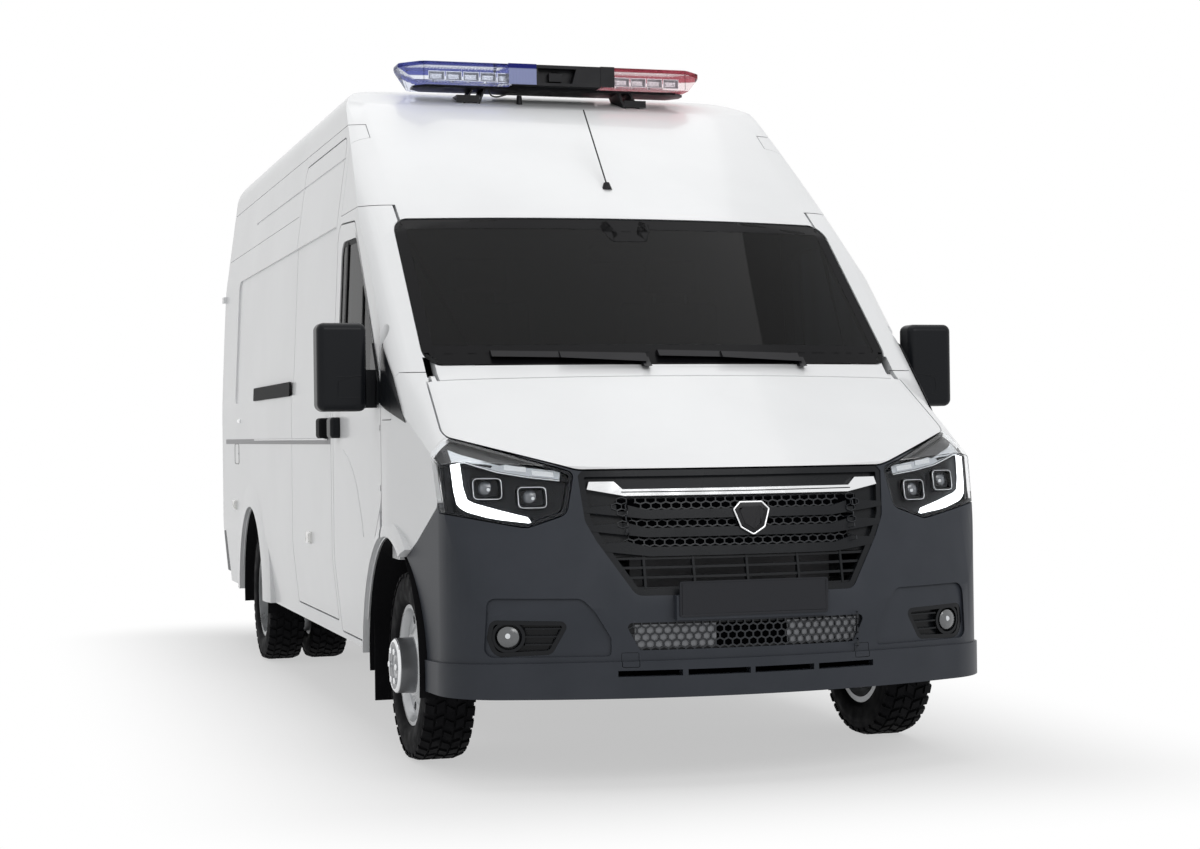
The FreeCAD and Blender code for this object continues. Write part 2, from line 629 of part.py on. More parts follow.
# bright strip over the top blade, thickened at both ends
STRIP = both_sides([(400, 962, 0), (520, 985, 0), (512, 1010, 0), (432, 1010, 0), (404, 984, 0)])
strip = panel(front_prism(STRIP, -300, 300).common(grille_form), -3, 19.7)
badge_x = size("badge_x")
BADGE = [(badge_x - 44, 850, 10), (badge_x, 824, 14), (badge_x + 44, 850, 10),
         (badge_x + 66, 912, 8), (badge_x + 40, 938, 8), (badge_x - 40, 938, 8),
         (badge_x - 66, 912, 8)]
badge = panel(front_prism(BADGE, -300, 300), -6, 0.7)
intake = panel(front_prism(INTAKE, -300, 500, -fit), 10, 28)
add("grille", [grille, intake])
add("grille_strip", [strip, badge])
rail_front = size("rail_front_y")
add("radiator", box(-360, 360, rail_front - 50, rail_front - fit, 400, 930))

lamp_body = panel(lamp_form, 5 + fit, 90)
lamp_recess = panel(front_prism(LAMP, -300, 700, -10), 4, 50)
lamp_flange = front_prism(LAMP, -300, 700, 12).common(side_prism(LAMP_REAR, 1, 12))
lamp_body = lamp_body.cut(lamp_recess).fuse(panel(lamp_flange, 30 + fit, 90))
# two projector barrels and the upper turn-lamp shelf inside each housing
for barrel_x, barrel_z in ((690, 960), (828, 990)):
    barrel = [(barrel_x - 48, barrel_z - 38, 22), (barrel_x + 48, barrel_z - 38, 22),
              (barrel_x + 48, barrel_z + 38, 22), (barrel_x - 48, barrel_z + 38, 22)]
    bezel = front_prism(barrel, -300, 700).cut(front_prism(barrel, -300, 700, -7))
    lamp_body = lamp_body.fuse(panel(bezel, 16, 60))
    lamp_body = lamp_body.fuse(panel(front_prism(barrel, -300, 700, -2), 40, 60))
SHELF = [(570, 1008, 0), (700, 1036, 0), (1000, 1080, 0), (1000, 1094, 0), (700, 1050, 0),
         (570, 1022, 0)]
lamp_body = lamp_body.fuse(panel(front_prism(SHELF, -300, 700).common(lamp_form), 12, 60))
add("headlamps", [biggest(lamp_body), mirrored(biggest(lamp_body))])
lamp_lens = panel(lamp_form, 0.5, 5)
add("headlamp_lenses", [biggest(lamp_lens), mirrored(biggest(lamp_lens))])
fog_form = panel(front_prism(FOG, -300, 500, -fit), 10, 45)
lamp_x, lamp_z = FOG_LAMP
fog_form = fog_form.cut(panel(front_prism(FOG, -300, 500, -14), 5, 32))
for fin_z in (478, 504, 530):
    fin = box(610, lamp_x - 52, 0, 400, fin_z, fin_z + 5)
    fog_form = fog_form.fuse(panel(fin.common(front_prism(FOG, -300, 500, -2)), 14, 36))
socket = Part.makeCylinder(52, 400, Vector(lamp_x, -100, lamp_z), Vector(0, 1, 0))
socket = socket.cut(Part.makeCylinder(42, 400, Vector(lamp_x, -100, lamp_z), Vector(0, 1, 0)))
fog_form = fog_form.fuse(panel(socket, 12, 36))
globe = Part.makeCylinder(34, 400, Vector(lamp_x, -100, lamp_z), Vector(0, 1, 0))
fog_form = fog_form.fuse(panel(globe, 20, 36))
add("fog_lamps", [biggest(fog_form), mirrored(biggest(fog_form))])

# ------------------------------------------------------------------ floor, cab
floor_top = size("floor_top")
floor_foot = floor_top - size("floor_thick")


def housing(axle, inner_x):
    """Wheel housing over one wheel arch: half shell with its inner end wall."""
    outer = Part.makeCylinder(arch + 7, 1500, Vector(inner_x, axle, wheel_z), Vector(1, 0, 0))
    inner = Part.makeCylinder(arch, 1500, Vector(inner_x + 8, axle, wheel_z), Vector(1, 0, 0))
    above = box(0, 1500, axle - 600, axle + 600, floor_foot, 1200)
    return outer.cut(inner).common(above).common(inside)


def housing_room(axle, inner_x):
    outer = Part.makeCylinder(arch + 7, 1500, Vector(inner_x, axle, wheel_z), Vector(1, 0, 0))
    return outer


slab = inside.common(box(-1500, 1500, 975, body_rear - wall - 2 * gap, floor_foot, floor_top))
toe_board = side_prism([(960, floor_foot, 0), (1000, floor_foot, 0), (890, 1375, 0),
                        (866, 1375, 0)])
toe_board = toe_board.common(inside)
for near, far in ((-1200, -914.7), (914.7, 1200)):
    toe_board = toe_board.cut(box(near, far, 0, 1000, 1339.7, 1500))
floor_pieces = [slab, toe_board]
rooms = []
shells = []
for axle, inner_x in ((front_axle, 592), (rear_axle, 520)):
    for turn in (lambda piece: piece, mirrored):
        rooms.append(turn(housing_room(axle, inner_x)))
        shells.append(turn(housing(axle, inner_x)))
floor = joined(floor_pieces)
for room in rooms:
    floor = floor.cut(room)
floor = joined([floor] + shells)
post_room = box(size("half_width") - wall - gap - 51, 1500, y_door - 50, y_door + 95, 0, 1400)
floor = floor.cut(post_room).cut(mirrored(post_room))
add("floor", biggest(floor))
bulkhead = inside.common(box(-1500, 1500, y_door_rear + gap, y_door_rear + gap + 30,
                             floor_top, 3000))
add("bulkhead", bulkhead)
DASH = [(947, 1010, 0), (895, 1345, 0), (1120, 1385, 60), (1230, 1290, 60), (1250, 1120, 60),
        (1130, 1010, 60)]
dash_half = size("half_width") - wall - 2 * gap
dash = side_prism(DASH).common(inside).common(box(-dash_half, dash_half, 0, 2000, 0, 2000))
dash = dash.cut(box(size("half_width") - wall - gap - 52, 1500, 0, 1400, 0, 1400))
dash = dash.cut(box(-1500, -(size("half_width") - wall - gap - 52), 0, 1400, 0, 1400))
wheel_centre = Vector(420, 1400, 1290)
tilt = Vector(0, 0.8, 0.6)
shaft_low = wheel_centre - tilt * 60
column = rod(wheel_centre - tilt * 280, wheel_centre - tilt * 40, 34)
column = column.cut(rod(shaft_low, wheel_centre, 12 + size("pin_gap")))
add("dashboard", dash.fuse(column))

# ------------------------------------------------------------ chassis and drive
rail_x = size("rail_x")
rail_low = floor_foot - size("rail_height")
TOW_BOLT_Y = body_rear - 380
JACK_PADS = [1850, 3900]
rails = []
for sign in (-1, 1):
    middle = sign * rail_x
    half_rail = size("rail_width") / 2
    rail = box(middle - half_rail, middle + half_rail, size("rail_front_y"), body_rear - 80,
               rail_low, floor_foot)
    for bolt_y in (TOW_BOLT_Y - 50, TOW_BOLT_Y + 50):
        rail = rail.cut(rod((middle, bolt_y, rail_low), (middle, bolt_y, rail_low + 40), 6.5))
    for jack_y in JACK_PADS:
        rail = rail.fuse(box(middle - 30, middle + 30, jack_y - 45, jack_y + 45,
                             rail_low - size("pad_thick"), rail_low + 2))
    rails.append(rail)
for cross_y in (size("rail_front_y"), front_axle + 700, 2700, 3700, rear_axle + 600,
                body_rear - 150):
    rails.append(box(-rail_x, rail_x, cross_y, cross_y + 60, rail_low + 20, floor_foot - 20))
add("chassis_frame", joined(rails))
engine = box(-260, 260, 330, 900, 680, 1000)
for sign in (-1, 1):
    near, far = sorted((sign * 255, sign * 440))
    engine = engine.fuse(box(near, far, 560, 640, floor_foot + fit, 710))
add("engine", engine)


def turned(profile, x_side=1):
    """Ring or disc turned about a wheel's axle from (across, radius) corners."""
    wire = Part.makePolygon([Vector(u, 0, v) for u, v in profile + profile[:1]])
    ring = Part.Face(wire).revolve(Vector(0, 0, 0), Vector(1, 0, 0), 360)
    return ring if x_side > 0 else mirrored(ring)


def at(shape, x, y, z):
    moved = shape.copy()
    moved.translate(Vector(x, y, z))
    return moved


half_tyre = size("tyre_width") / 2
tread = size("tyre_radius")
lip = size("rim_lip")
TYRE = [(-65, 206), (-68.7, 218.7), (-half_tyre + 12, lip + 6), (-half_tyre, 276),
        (-half_tyre + 8, tread - 20), (-half_tyre + 26, tread), (half_tyre - 26, tread),
        (half_tyre - 8, tread - 20), (half_tyre, 276), (half_tyre - 12, lip + 6),
        (68.7, 218.7), (65, 206)]
# front wheel: outboard is +u
tyre = turned(TYRE)
front_wheel_x = size("front_wheel_x")
FRONT_RIM = [(-76, 197), (-76, 218), (-69, 218), (-66, 205.7), (66, 205.7), (69, 218),
             (76, 218), (76, 205), (62, 197), (50, 192), (46, 150), (66, 116), (72, 110),
             (72, 100), (130, 98), (138, 88), (134, 60), (126, 0), (58, 0), (58, 100),
             (38, 150), (42, 192), (36, 197)]
rim = turned(FRONT_RIM)
HOLES = 8
for turn_number in range(HOLES):
    angle = 2 * math.pi * (turn_number + 0.5) / HOLES
    hole_y = 170 * math.sin(angle)
    hole_z = 170 * math.cos(angle)
    rim = rim.cut(rod((0, hole_y, hole_z), (120, hole_y, hole_z), 16))
hub = turned([(-36, 30), (-36, 62), (-48, 62), (-48, size("disc_radius")),
              (-60, size("disc_radius")), (-60, 30)])
hub_tube = turned([(-40, 30), (-40, 62), (58.5, 62), (58.5, 30)])
for side_name, turn in (("left", lambda piece: piece), ("right", mirrored)):
    add("front_tyre_" + side_name, turn(at(tyre, front_wheel_x, front_axle, wheel_z)))
    add("front_rim_" + side_name,
        turn(at(rim.fuse(hub).fuse(hub_tube), front_wheel_x, front_axle, wheel_z)))
    upright = joined([
        rod((front_wheel_x - 100, front_axle, wheel_z), (front_wheel_x + 50, front_axle, wheel_z),
            29.9),
        box(760, 800, front_axle - 45, front_axle + 45, 245, 470),
        rod((780, front_axle, 235), (780, front_axle, 480), 22),
    ])
    for low in (235, 458):
        upright = upright.cut(rod((780, front_axle, low), (780, front_axle, low + 22),
                                  9 + size("pin_gap")))
    add("knuckle_" + side_name, turn(upright))
    rear_x = size("rear_outer_x")
    inner_x = size("rear_inner_x")
    add("rear_tyres_" + side_name, [turn(at(tyre, rear_x, rear_axle, wheel_z)),
                                   turn(at(tyre, inner_x, rear_axle, wheel_z))])
    disc_x = (rear_x + inner_x) / 2
    barrel = [(-76, 197), (-76, 218), (-69, 218), (-66, 205.7), (66, 205.7), (69, 218),
              (76, 218), (76, 197)]
    outer_rim = at(turned(barrel), rear_x, rear_axle, wheel_z)
    inner_rim = at(turned(barrel), inner_x, rear_axle, wheel_z)
    face = turned([(-48, 200), (-30, 198), (-8, 150), (-8, 0), (8, 0), (8, 150), (30, 198),
                   (48, 200)])
    face = at(face, disc_x, rear_axle, wheel_z)
    cap = rod((disc_x, rear_axle, wheel_z), (disc_x + 110, rear_axle, wheel_z), 72)
    rear_rims = joined([outer_rim, inner_rim, face, cap])
    rear_rims = rear_rims.cut(rod((disc_x - 20, rear_axle, wheel_z),
                                  (disc_x + 90, rear_axle, wheel_z), 30 + size("pin_gap")))
    add("rear_rims_" + side_name, turn(rear_rims))

axle_beam = joined([
    rod((-700, rear_axle, wheel_z), (700, rear_axle, wheel_z), 48),
    rod((-860, rear_axle, wheel_z), (860, rear_axle, wheel_z), 30),
    rod((-110, rear_axle, wheel_z), (110, rear_axle, wheel_z), 150),
    rod((-640, rear_axle, wheel_z), (-560, rear_axle, wheel_z), 150),
    rod((560, rear_axle, wheel_z), (640, rear_axle, wheel_z), 150),
])
add("rear_axle", axle_beam)
springs = []
for sign in (-1, 1):
    middle = sign * rail_x
    springs.append(joined([
        box(middle - 32, middle + 32, rear_axle - 90, rear_axle + 90, wheel_z + 48.3,
            wheel_z + 90),
        box(middle - 32, middle + 32, rear_axle - 600, rear_axle + 600, wheel_z + 90,
            wheel_z + 115),
        box(middle - 30, middle + 30, rear_axle - 600, rear_axle - 560, wheel_z + 100,
            rail_low - 0),
        box(middle - 30, middle + 30, rear_axle + 560, rear_axle + 600, wheel_z + 100,
            rail_low - 0),
    ]))
add("leaf_springs", springs)
arms = [box(-430, 430, front_axle - 70, front_axle + 70, 330, 420)]
for sign in (-1, 1):
    inner, outer = sign * 400, sign * 780
    arms.append(rod((inner, front_axle, 345), (outer, front_axle, 203), 17))
    arms.append(rod((inner, front_axle, 415), (outer, front_axle, 508), 15))
    arms.append(rod((outer, front_axle, 186), (outer, front_axle, 234.7), 24))
    arms.append(rod((outer, front_axle, 480.3), (outer, front_axle, 524), 24))
    arms.append(rod((outer, front_axle, 230), (outer, front_axle, 254), 9))
    arms.append(rod((outer, front_axle, 461), (outer, front_axle, 490), 9))
    arms.append(box(sign * 380 - 40, sign * 380 + 40, front_axle - 60, front_axle + 60, 400,
                    rail_low))
    arms.append(rod((sign * 640, front_axle, 300), (sign * 600, front_axle, 660), 46))
add("front_suspension", joined(arms))
tank = box(470, 900, 2300, 3300, 380, 640)
rail_side = rail_x + size("rail_width") / 2
for strap_y in (2450, 3100):
    tank = tank.fuse(box(rail_side + fit, 480, strap_y, strap_y + 60, rail_low + 20, 630))
add("fuel_tank", tank)
exhaust = rod((-300, 1800, 440), (-300, 3200, 440), 75)
hanger = box(-312, -288, 2715, 2745, 500, rail_low + 20 - fit)
add("exhaust", exhaust.fuse(hanger))

# ------------------------------------------------------------ rear and trim
rear_step = panel(box(-1500, 1500, body_rear - 137, 7000, 400, rear_foot - 7))
for sign in (-1, 1):
    near, far = sorted((sign * 395, sign * 445))
    rear_step = rear_step.fuse(box(near, far, body_rear - 80 + fit, body_rear - 35, 540, 600))
step = box(-900, 900, body_rear - 40, step_rear, 420, 500)
add("rear_step", rear_step.fuse(step))
lamp_left = box(945, 1020, body_rear - 60, body_rear + 10, 790, 1190).cut(form(-fit))
add("tail_lamps", [lamp_left, mirrored(lamp_left)])
flap_y = front_axle + math.sqrt((arch + 8) ** 2 - (500 - wheel_z) ** 2) - fit
flap = box(800, 1000, flap_y - 8, flap_y, 165, 500)
add("mudflaps", [flap, mirrored(flap)])
slide_rail = panel(side_prism([(slide_rear + gap + 20, 1364, 10), (4550, 1364, 10),
                               (4550, 1430, 10), (slide_rear + gap + 20, 1430, 10)], 1), -8, -fit)
slide_handle = box(1026, 1074, slide_front + 45, slide_front + 145, 1165, 1250)
slide_handle = slide_handle.makeFillet(14, slide_handle.Edges).cut(form(-fit))
add("side_trim", [mirrored(slide_rail), mirrored(slide_handle)])

# ------------------------------------------------------------------ cab fittings
column_x = 420
ring = Part.makeTorus(190, 15, wheel_centre, tilt)
boss = rod(wheel_centre - tilt * 34, wheel_centre + tilt * 4, 55)
shaft = rod(wheel_centre - tilt * 58, wheel_centre, 12)
bar = rod(wheel_centre - Vector(190, 0, 0), wheel_centre + Vector(190, 0, 0), 13)
add("steering_wheel", joined([ring, boss, shaft, bar]))
seats = []
for sign in (-1, 1):
    middle = sign * column_x
    base = box(middle - 220, middle + 220, 1560, 2040, floor_top, 1010)
    cushion = box(middle - 250, middle + 250, 1540, 2050, 1010, 1150)
    rest = side_prism([(1960, 1150, 0), (2080, 1150, 0), (2098, 1750, 40), (2000, 1750, 40)])
    rest = rest.common(box(middle - 240, middle + 240, 0, 3000, 0, 3000))
    head = box(middle - 130, middle + 130, 2010, 2095, 1750, 1920)
    seats.append(joined([base, cushion, rest, head]))
add("seats", seats)

# --------------------------------------------------------------------- roof gear
bar_y = size("bar_y")
half_bar = size("bar_width") / 2
foot_z = size("bar_foot_z")
bar_top = foot_z + size("bar_height")
centre_half = size("bar_centre_half")
bar_half = size("bar_half")
bar_front = bar_y - half_bar
bar_rear = bar_y + half_bar
lens_low = foot_z + size("tray_thick")
BAR_PLAN = both_sides([(bar_half - 90, bar_front, 60), (bar_half, bar_front + 90, 50),
                       (bar_half, bar_rear - 90, 50), (bar_half - 90, bar_rear, 60)])
tray = plan_prism(BAR_PLAN, foot_z, lens_low, -70)
bar_body = plan_prism(BAR_PLAN, lens_low, bar_top)
# the ends lean outward from the tray to the lid
LEAN = both_sides([(bar_half - 75, lens_low - 1, 0), (bar_half + 1, bar_top - 16, 12),
                   (bar_half - 4, bar_top + 1, 0)])
bar_body = bar_body.common(front_prism(LEAN, bar_front - 10, bar_rear + 10))
middle = front_prism(both_sides([(centre_half - 14, lens_low - 1, 0),
                                 (centre_half, bar_top + 1, 0)]), bar_front - 10, bar_rear + 10)
speaker = front_prism(both_sides([(70, lens_low + 12, 0), (88, bar_top - 14, 0)]),
                      bar_front - 10, bar_front + 45)
centre = bar_body.common(middle).cut(speaker)
horn = box(-30, 30, bar_front + 20, bar_front + 50, lens_low + 22, lens_low + 58)
bar_feet = []
for sign in (-1, 1):
    for top_x, foot_x in ((296, 338), (346, 412)):
        leg = both_sides([(foot_x + 12, foot_z - 100, 0), (top_x + 12, foot_z + 4, 0)])
        thin = both_sides([(foot_x + 3, foot_z - 100, 0), (top_x + 3, foot_z + 4, 0)])
        leg = front_prism(leg, bar_y - 70, bar_y + 70).cut(front_prism(thin, bar_y - 71,
                                                                       bar_y + 71))
        leg = leg.common(box(0, 1000, 0, 6000, 2500, foot_z + 3))
        bar_feet.append(leg if sign > 0 else mirrored(leg))
    near, far = sorted((sign * 330, sign * 430))
    shoe = box(near, far, bar_y - 70, bar_y + 70, 2560, foot_z - 30)
    bar_feet.append(shoe.cut(form(-6)))
feet = joined(bar_feet).cut(form(-fit))
add("lightbar_body", joined([tray, centre.fuse(horn), feet]))
lens_room = front_prism(both_sides([(centre_half - 14 + fit, lens_low - 1, 0),
                                    (centre_half + fit, bar_top + 1, 0)]),
                        bar_front - 10, bar_rear + 10)
dome = bar_body.cut(lens_room).common(box(0, 1000, 0, 6000, lens_low + fit, bar_top - 1))
add("lightbar_red", dome)
add("lightbar_blue", mirrored(dome))
mast = joined([Part.makeCone(22, 12, 30, Vector(0, 1580, 2150), Vector(0, 0.2, 1)),
               rod((0, 1584, 2175), (0, 1900, 2520), 3)])
# supply cable of the light bar: from the bar's underside to a gland on the roof
cable_y = bar_y - 50
cable_radius = 3.5
gland_x = -146
gland_top = foot_z - 24
ROUTE = [(-280, foot_z), (-280, 2661), (-270, 2648), (-248, 2644), (-222, 2651),
         (-190, 2661), (-167, 2664), (-152, 2660), (gland_x, gland_top - 8)]


def rounded_path(route):
    """Straight runs joined by tangent arcs, each as large as its runs allow."""
    edges = []
    last = route[0]
    for before, here, after in zip(route, route[1:], route[2:]):
        back = (before - here).normalize()
        ahead = (after - here).normalize()
        half = back.getAngle(ahead) / 2
        reach = 0.45 * min((before - here).Length, (after - here).Length)
        radius = reach * math.tan(half)
        inward = (back + ahead).normalize()
        middle = here + inward * (radius / math.sin(half) - radius)
        start = here + back * reach
        finish = here + ahead * reach
        edges.append(Part.LineSegment(last, start).toShape())
        edges.append(Part.Arc(start, middle, finish).toShape())
        print("cable radius %.1f" % radius)
        last = finish
    edges.append(Part.LineSegment(last, route[-1]).toShape())
    return Part.Wire(edges)


path = rounded_path([Vector(x, cable_y, z) for x, z in ROUTE])


def swept(radius):
    first = path.Edges[0]
    end = Part.Circle(first.Vertexes[0].Point, first.tangentAt(first.FirstParameter), radius)
    return path.makePipeShell([Part.Wire(end.toShape())], True, False)


cable = swept(cable_radius)
print("cable volume %.1f of %.1f" % (cable.Volume, math.pi * cable_radius ** 2 * path.Length))
add("lightbar_cable", cable)
gland = Part.makeCone(15, 11, 60, Vector(gland_x, cable_y, gland_top - 60), Vector(0, 0, 1))
gland = gland.cut(form(-fit)).cut(swept(cable_radius + size("pin_gap")))
add("roof_fittings", [mast.cut(form(-fit)), biggest(gland)])

# wiper arms and blades lying near the foot of the windscreen
wipers = []
for pivot_x, tip_x in ((500, -60), (-120, -670)):
    blade = panel(front_prism([(tip_x, 1452, 0), (tip_x + 560, 1440, 0), (tip_x + 560, 1462, 0),
                               (tip_x, 1474, 0)], 400, 1300), -16, -fit)
    arm = panel(front_prism([(tip_x + 240, 1446, 0), (pivot_x, 1430, 0), (pivot_x, 1446, 0),
                             (tip_x + 240, 1468, 0)], 400, 1300), -26, -14)
    boss = panel(front_prism([(pivot_x - 14, 1412, 0), (pivot_x + 14, 1412, 0),
                              (pivot_x + 14, 1447, 0), (pivot_x - 14, 1447, 0)], 400, 1300),
                 -20, -fit)
    wipers.append(joined([blade, arm, boss]))
add("wipers", wipers)

# ----------------------------------------------------------------- check, export
doc.recompute()
for obj in doc.Objects:
    for state in ("Invalid", "Error"):
        if state in obj.State:
            raise RuntimeError("%s is %s" % (obj.Label, state))
os.makedirs("parts", exist_ok=True)
for obj in parts:
    shape = obj.Shape
    if shape.isNull() or not shape.isValid():
        raise RuntimeError("bad shape in " + obj.Label)
for obj in parts:
    obj.Shape.exportStep("parts/%s.step" % obj.Label)
print("written", len(parts))
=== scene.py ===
import math

import bmesh
import bpy
from mathutils import Matrix, Vector
from mathutils.bvhtree import BVHTree


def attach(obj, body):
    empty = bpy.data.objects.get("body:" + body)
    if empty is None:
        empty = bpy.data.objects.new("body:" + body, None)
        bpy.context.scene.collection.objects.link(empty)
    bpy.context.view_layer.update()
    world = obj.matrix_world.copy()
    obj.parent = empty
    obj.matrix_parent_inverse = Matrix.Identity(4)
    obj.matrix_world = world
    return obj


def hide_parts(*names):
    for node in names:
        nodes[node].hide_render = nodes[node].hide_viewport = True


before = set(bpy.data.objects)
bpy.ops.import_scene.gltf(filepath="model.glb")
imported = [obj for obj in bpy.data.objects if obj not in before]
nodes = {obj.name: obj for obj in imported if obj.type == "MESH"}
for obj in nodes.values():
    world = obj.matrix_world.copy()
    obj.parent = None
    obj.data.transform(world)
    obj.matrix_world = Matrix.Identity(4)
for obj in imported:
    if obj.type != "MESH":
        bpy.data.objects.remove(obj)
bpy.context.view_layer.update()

# ---------------------------------------------------------------- painted shell
# Pressed steel side walls, roof, wings, bonnet and doors of the van,
# spot-welded or hung, primed and sprayed in gloss white enamel.


def shader_of(finish):
    return finish.node_tree.nodes["Principled BSDF"]


def add_node(finish, kind, **values):
    """A node whose properties and sockets are set by name."""
    made = finish.node_tree.nodes.new(kind)
    for key, value in values.items():
        if hasattr(made, key):
            setattr(made, key, value)
        else:
            made.inputs[key.replace("_", " ")].default_value = value
    return made


def join(finish, source, output, target, socket):
    finish.node_tree.links.new(source.outputs[output], target.inputs[socket])


def over_piece(finish, kind, **values):
    """A node fed with the piece's own coordinates."""
    where = add_node(finish, "ShaderNodeTexCoord")
    made = add_node(finish, kind, **values)
    join(finish, where, "Object", made, "Vector")
    return made


def raise_relief(finish, pattern, height, strength=1.0):
    bump = add_node(finish, "ShaderNodeBump", Distance=height, Strength=strength)
    join(finish, pattern, "Fac", bump, "Height")
    join(finish, bump, "Normal", shader_of(finish), "Normal")


def add_grain(finish, scale, height, detail=4.0):
    """Fine surface relief: orange peel, moulded grain or cast skin."""
    noise = over_piece(finish, "ShaderNodeTexNoise", Scale=scale, Detail=detail)
    raise_relief(finish, noise, height)


def add_wear(finish, scale, smooth, rough):
    """Roughness that wanders between two values over the surface."""
    noise = over_piece(finish, "ShaderNodeTexNoise", Scale=scale, Detail=5.0)
    spread = add_node(finish, "ShaderNodeMapRange", From_Min=0.3, From_Max=0.7,
                      To_Min=smooth, To_Max=rough)
    join(finish, noise, "Fac", spread, "Value")
    join(finish, spread, "Result", shader_of(finish), "Roughness")


def add_patches(finish, first, second, scale):
    """Patches between two colours, as dust, wear or age leave them."""
    noise = over_piece(finish, "ShaderNodeTexNoise", Scale=scale, Detail=6.0)
    ramp = add_node(finish, "ShaderNodeValToRGB")
    start, end = ramp.color_ramp.elements
    start.position, end.position = 0.35, 0.65
    start.color, end.color = (*first, 1), (*second, 1)
    join(finish, noise, "Fac", ramp, "Fac")
    join(finish, ramp, "Color", shader_of(finish), "Base Color")


def new_finish(name, colour, roughness, metallic=0.0, gloss=0.5, grain=None, worn=None,
               patches=None, **sockets):
    """A material with even values on the shader's own sockets, and its surface detail."""
    finish = bpy.data.materials.new(name)
    finish.use_nodes = True
    sockets.update(Base_Color=(*colour, 1), Roughness=roughness, Metallic=metallic,
                   Specular_IOR_Level=gloss)
    for socket, value in sockets.items():
        shader_of(finish).inputs[socket.replace("_", " ")].default_value = value
    for add, values in ((add_grain, grain), (add_wear, worn), (add_patches, patches)):
        if values:
            add(finish, *values)
    return finish


def smooth_skin():
    """Node group that shades a skin smooth and keeps its edges over 30 degrees sharp."""
    group = bpy.data.node_groups.new("smooth_skin", "GeometryNodeTree")
    for way in ("INPUT", "OUTPUT"):
        group.interface.new_socket("Geometry", in_out=way, socket_type="NodeSocketGeometry")
    start = group.nodes.new("NodeGroupInput")
    end = group.nodes.new("NodeGroupOutput")
    faces = group.nodes.new("GeometryNodeSetShadeSmooth")
    edges = group.nodes.new("GeometryNodeSetShadeSmooth")
    edges.domain = "EDGE"
    edges.inputs["Shade Smooth"].default_value = False
    bend = group.nodes.new("GeometryNodeInputMeshEdgeAngle")
    sharp = group.nodes.new("FunctionNodeCompare")
    sharp.inputs["B"].default_value = math.radians(30)
    group.links.new(start.outputs[0], faces.inputs["Geometry"])
    group.links.new(bend.outputs["Unsigned Angle"], sharp.inputs["A"])
    group.links.new(faces.outputs["Geometry"], edges.inputs["Geometry"])
    group.links.new(sharp.outputs["Result"], edges.inputs["Selection"])
    group.links.new(edges.outputs["Geometry"], end.inputs[0])
    return group


skin_shading = smooth_skin()


def shade(piece):
    shading = piece.modifiers.new("shading", "NODES")
    shading.node_group = skin_shading


def dress(finish, *names):
    """Give some nodes of the van their finish and smooth shading."""
    for name in names:
        piece = nodes[name]
        piece.data.materials.clear()
        piece.data.materials.append(finish)
        join_up = piece.modifiers.new("weld", "WELD")
        join_up.merge_threshold = 0.00005
        shade(piece)
        even = piece.modifiers.new("even", "WEIGHTED_NORMAL")
        even.keep_sharp = True


enamel = new_finish("white_enamel", (0.80, 0.81, 0.82), 0.34, gloss=0.3, Coat_Weight=0.3,
                    Coat_Roughness=0.08, grain=(900, 0.00002),
                    patches=((0.78, 0.79, 0.80), (0.82, 0.83, 0.84), 1.6))
dress(enamel, "side_wall_left", "side_wall_right", "roof", "front_wings", "bonnet",
      "door_left", "door_right", "sliding_door", "rear_door_left", "rear_door_right")

# ------------------------------------------------------------------------- cowl
# Pressed steel scuttle panel that closes the nose between bonnet and
# windscreen. It is welded to the wings' inner edges and painted with the shell.
dress(enamel, "cowl")

# ------------------------------------------------------------ frame and running gear
# Pressed steel rails and crossmembers, arms, axle and springs, all in black
# chassis wax; the engine is one plain block under the bonnet.
wax = new_finish("chassis_wax", (0.012, 0.012, 0.013), 0.6, gloss=0.2, grain=(120, 0.0006),
                 worn=(14, 0.4, 0.75))
dress(wax, "chassis_frame", "front_suspension", "knuckle_left", "knuckle_right", "rear_axle",
      "leaf_springs", "fuel_tank")
cast_iron = new_finish("cast_iron", (0.07, 0.07, 0.072), 0.6, metallic=0.6, grain=(260, 0.0005))
dress(cast_iron, "engine")
aluminised = new_finish("aluminised_steel", (0.35, 0.34, 0.32), 0.45, metallic=0.9,
                        patches=((0.26, 0.2, 0.16), (0.4, 0.39, 0.37), 7))
dress(aluminised, "exhaust")

# ------------------------------------------------------------------ floor and bulkhead
# Pressed steel floor with its wheel housings and toe board, sealed with black
# stone-chip coating, and the grey lined partition bolted behind the front seats.
underseal = new_finish("stone_chip", (0.012, 0.012, 0.013), 0.8, gloss=0.2, grain=(300, 0.0007))
dress(underseal, "floor")
lining = new_finish("lining_panel", (0.07, 0.072, 0.075), 0.7, grain=(500, 0.0002))
dress(lining, "bulkhead")

# -------------------------------------------------------------------- windscreen
# Laminated and tinted glass, bonded into the shell behind a baked black border
# and a rubber seal, with the sensor housing and inside mirror glued to it.
FRONT_TO_MIDDLE = 3086
AHEAD_OF_NOSE, BEHIND_TAIL, BESIDE = -400, 6500, 1300


def spot(x, y, z):
    """A point given in millimetres from the bumper's face and the ground."""
    return Vector((x / 1000, (y - FRONT_TO_MIDDLE) / 1000, z / 1000))


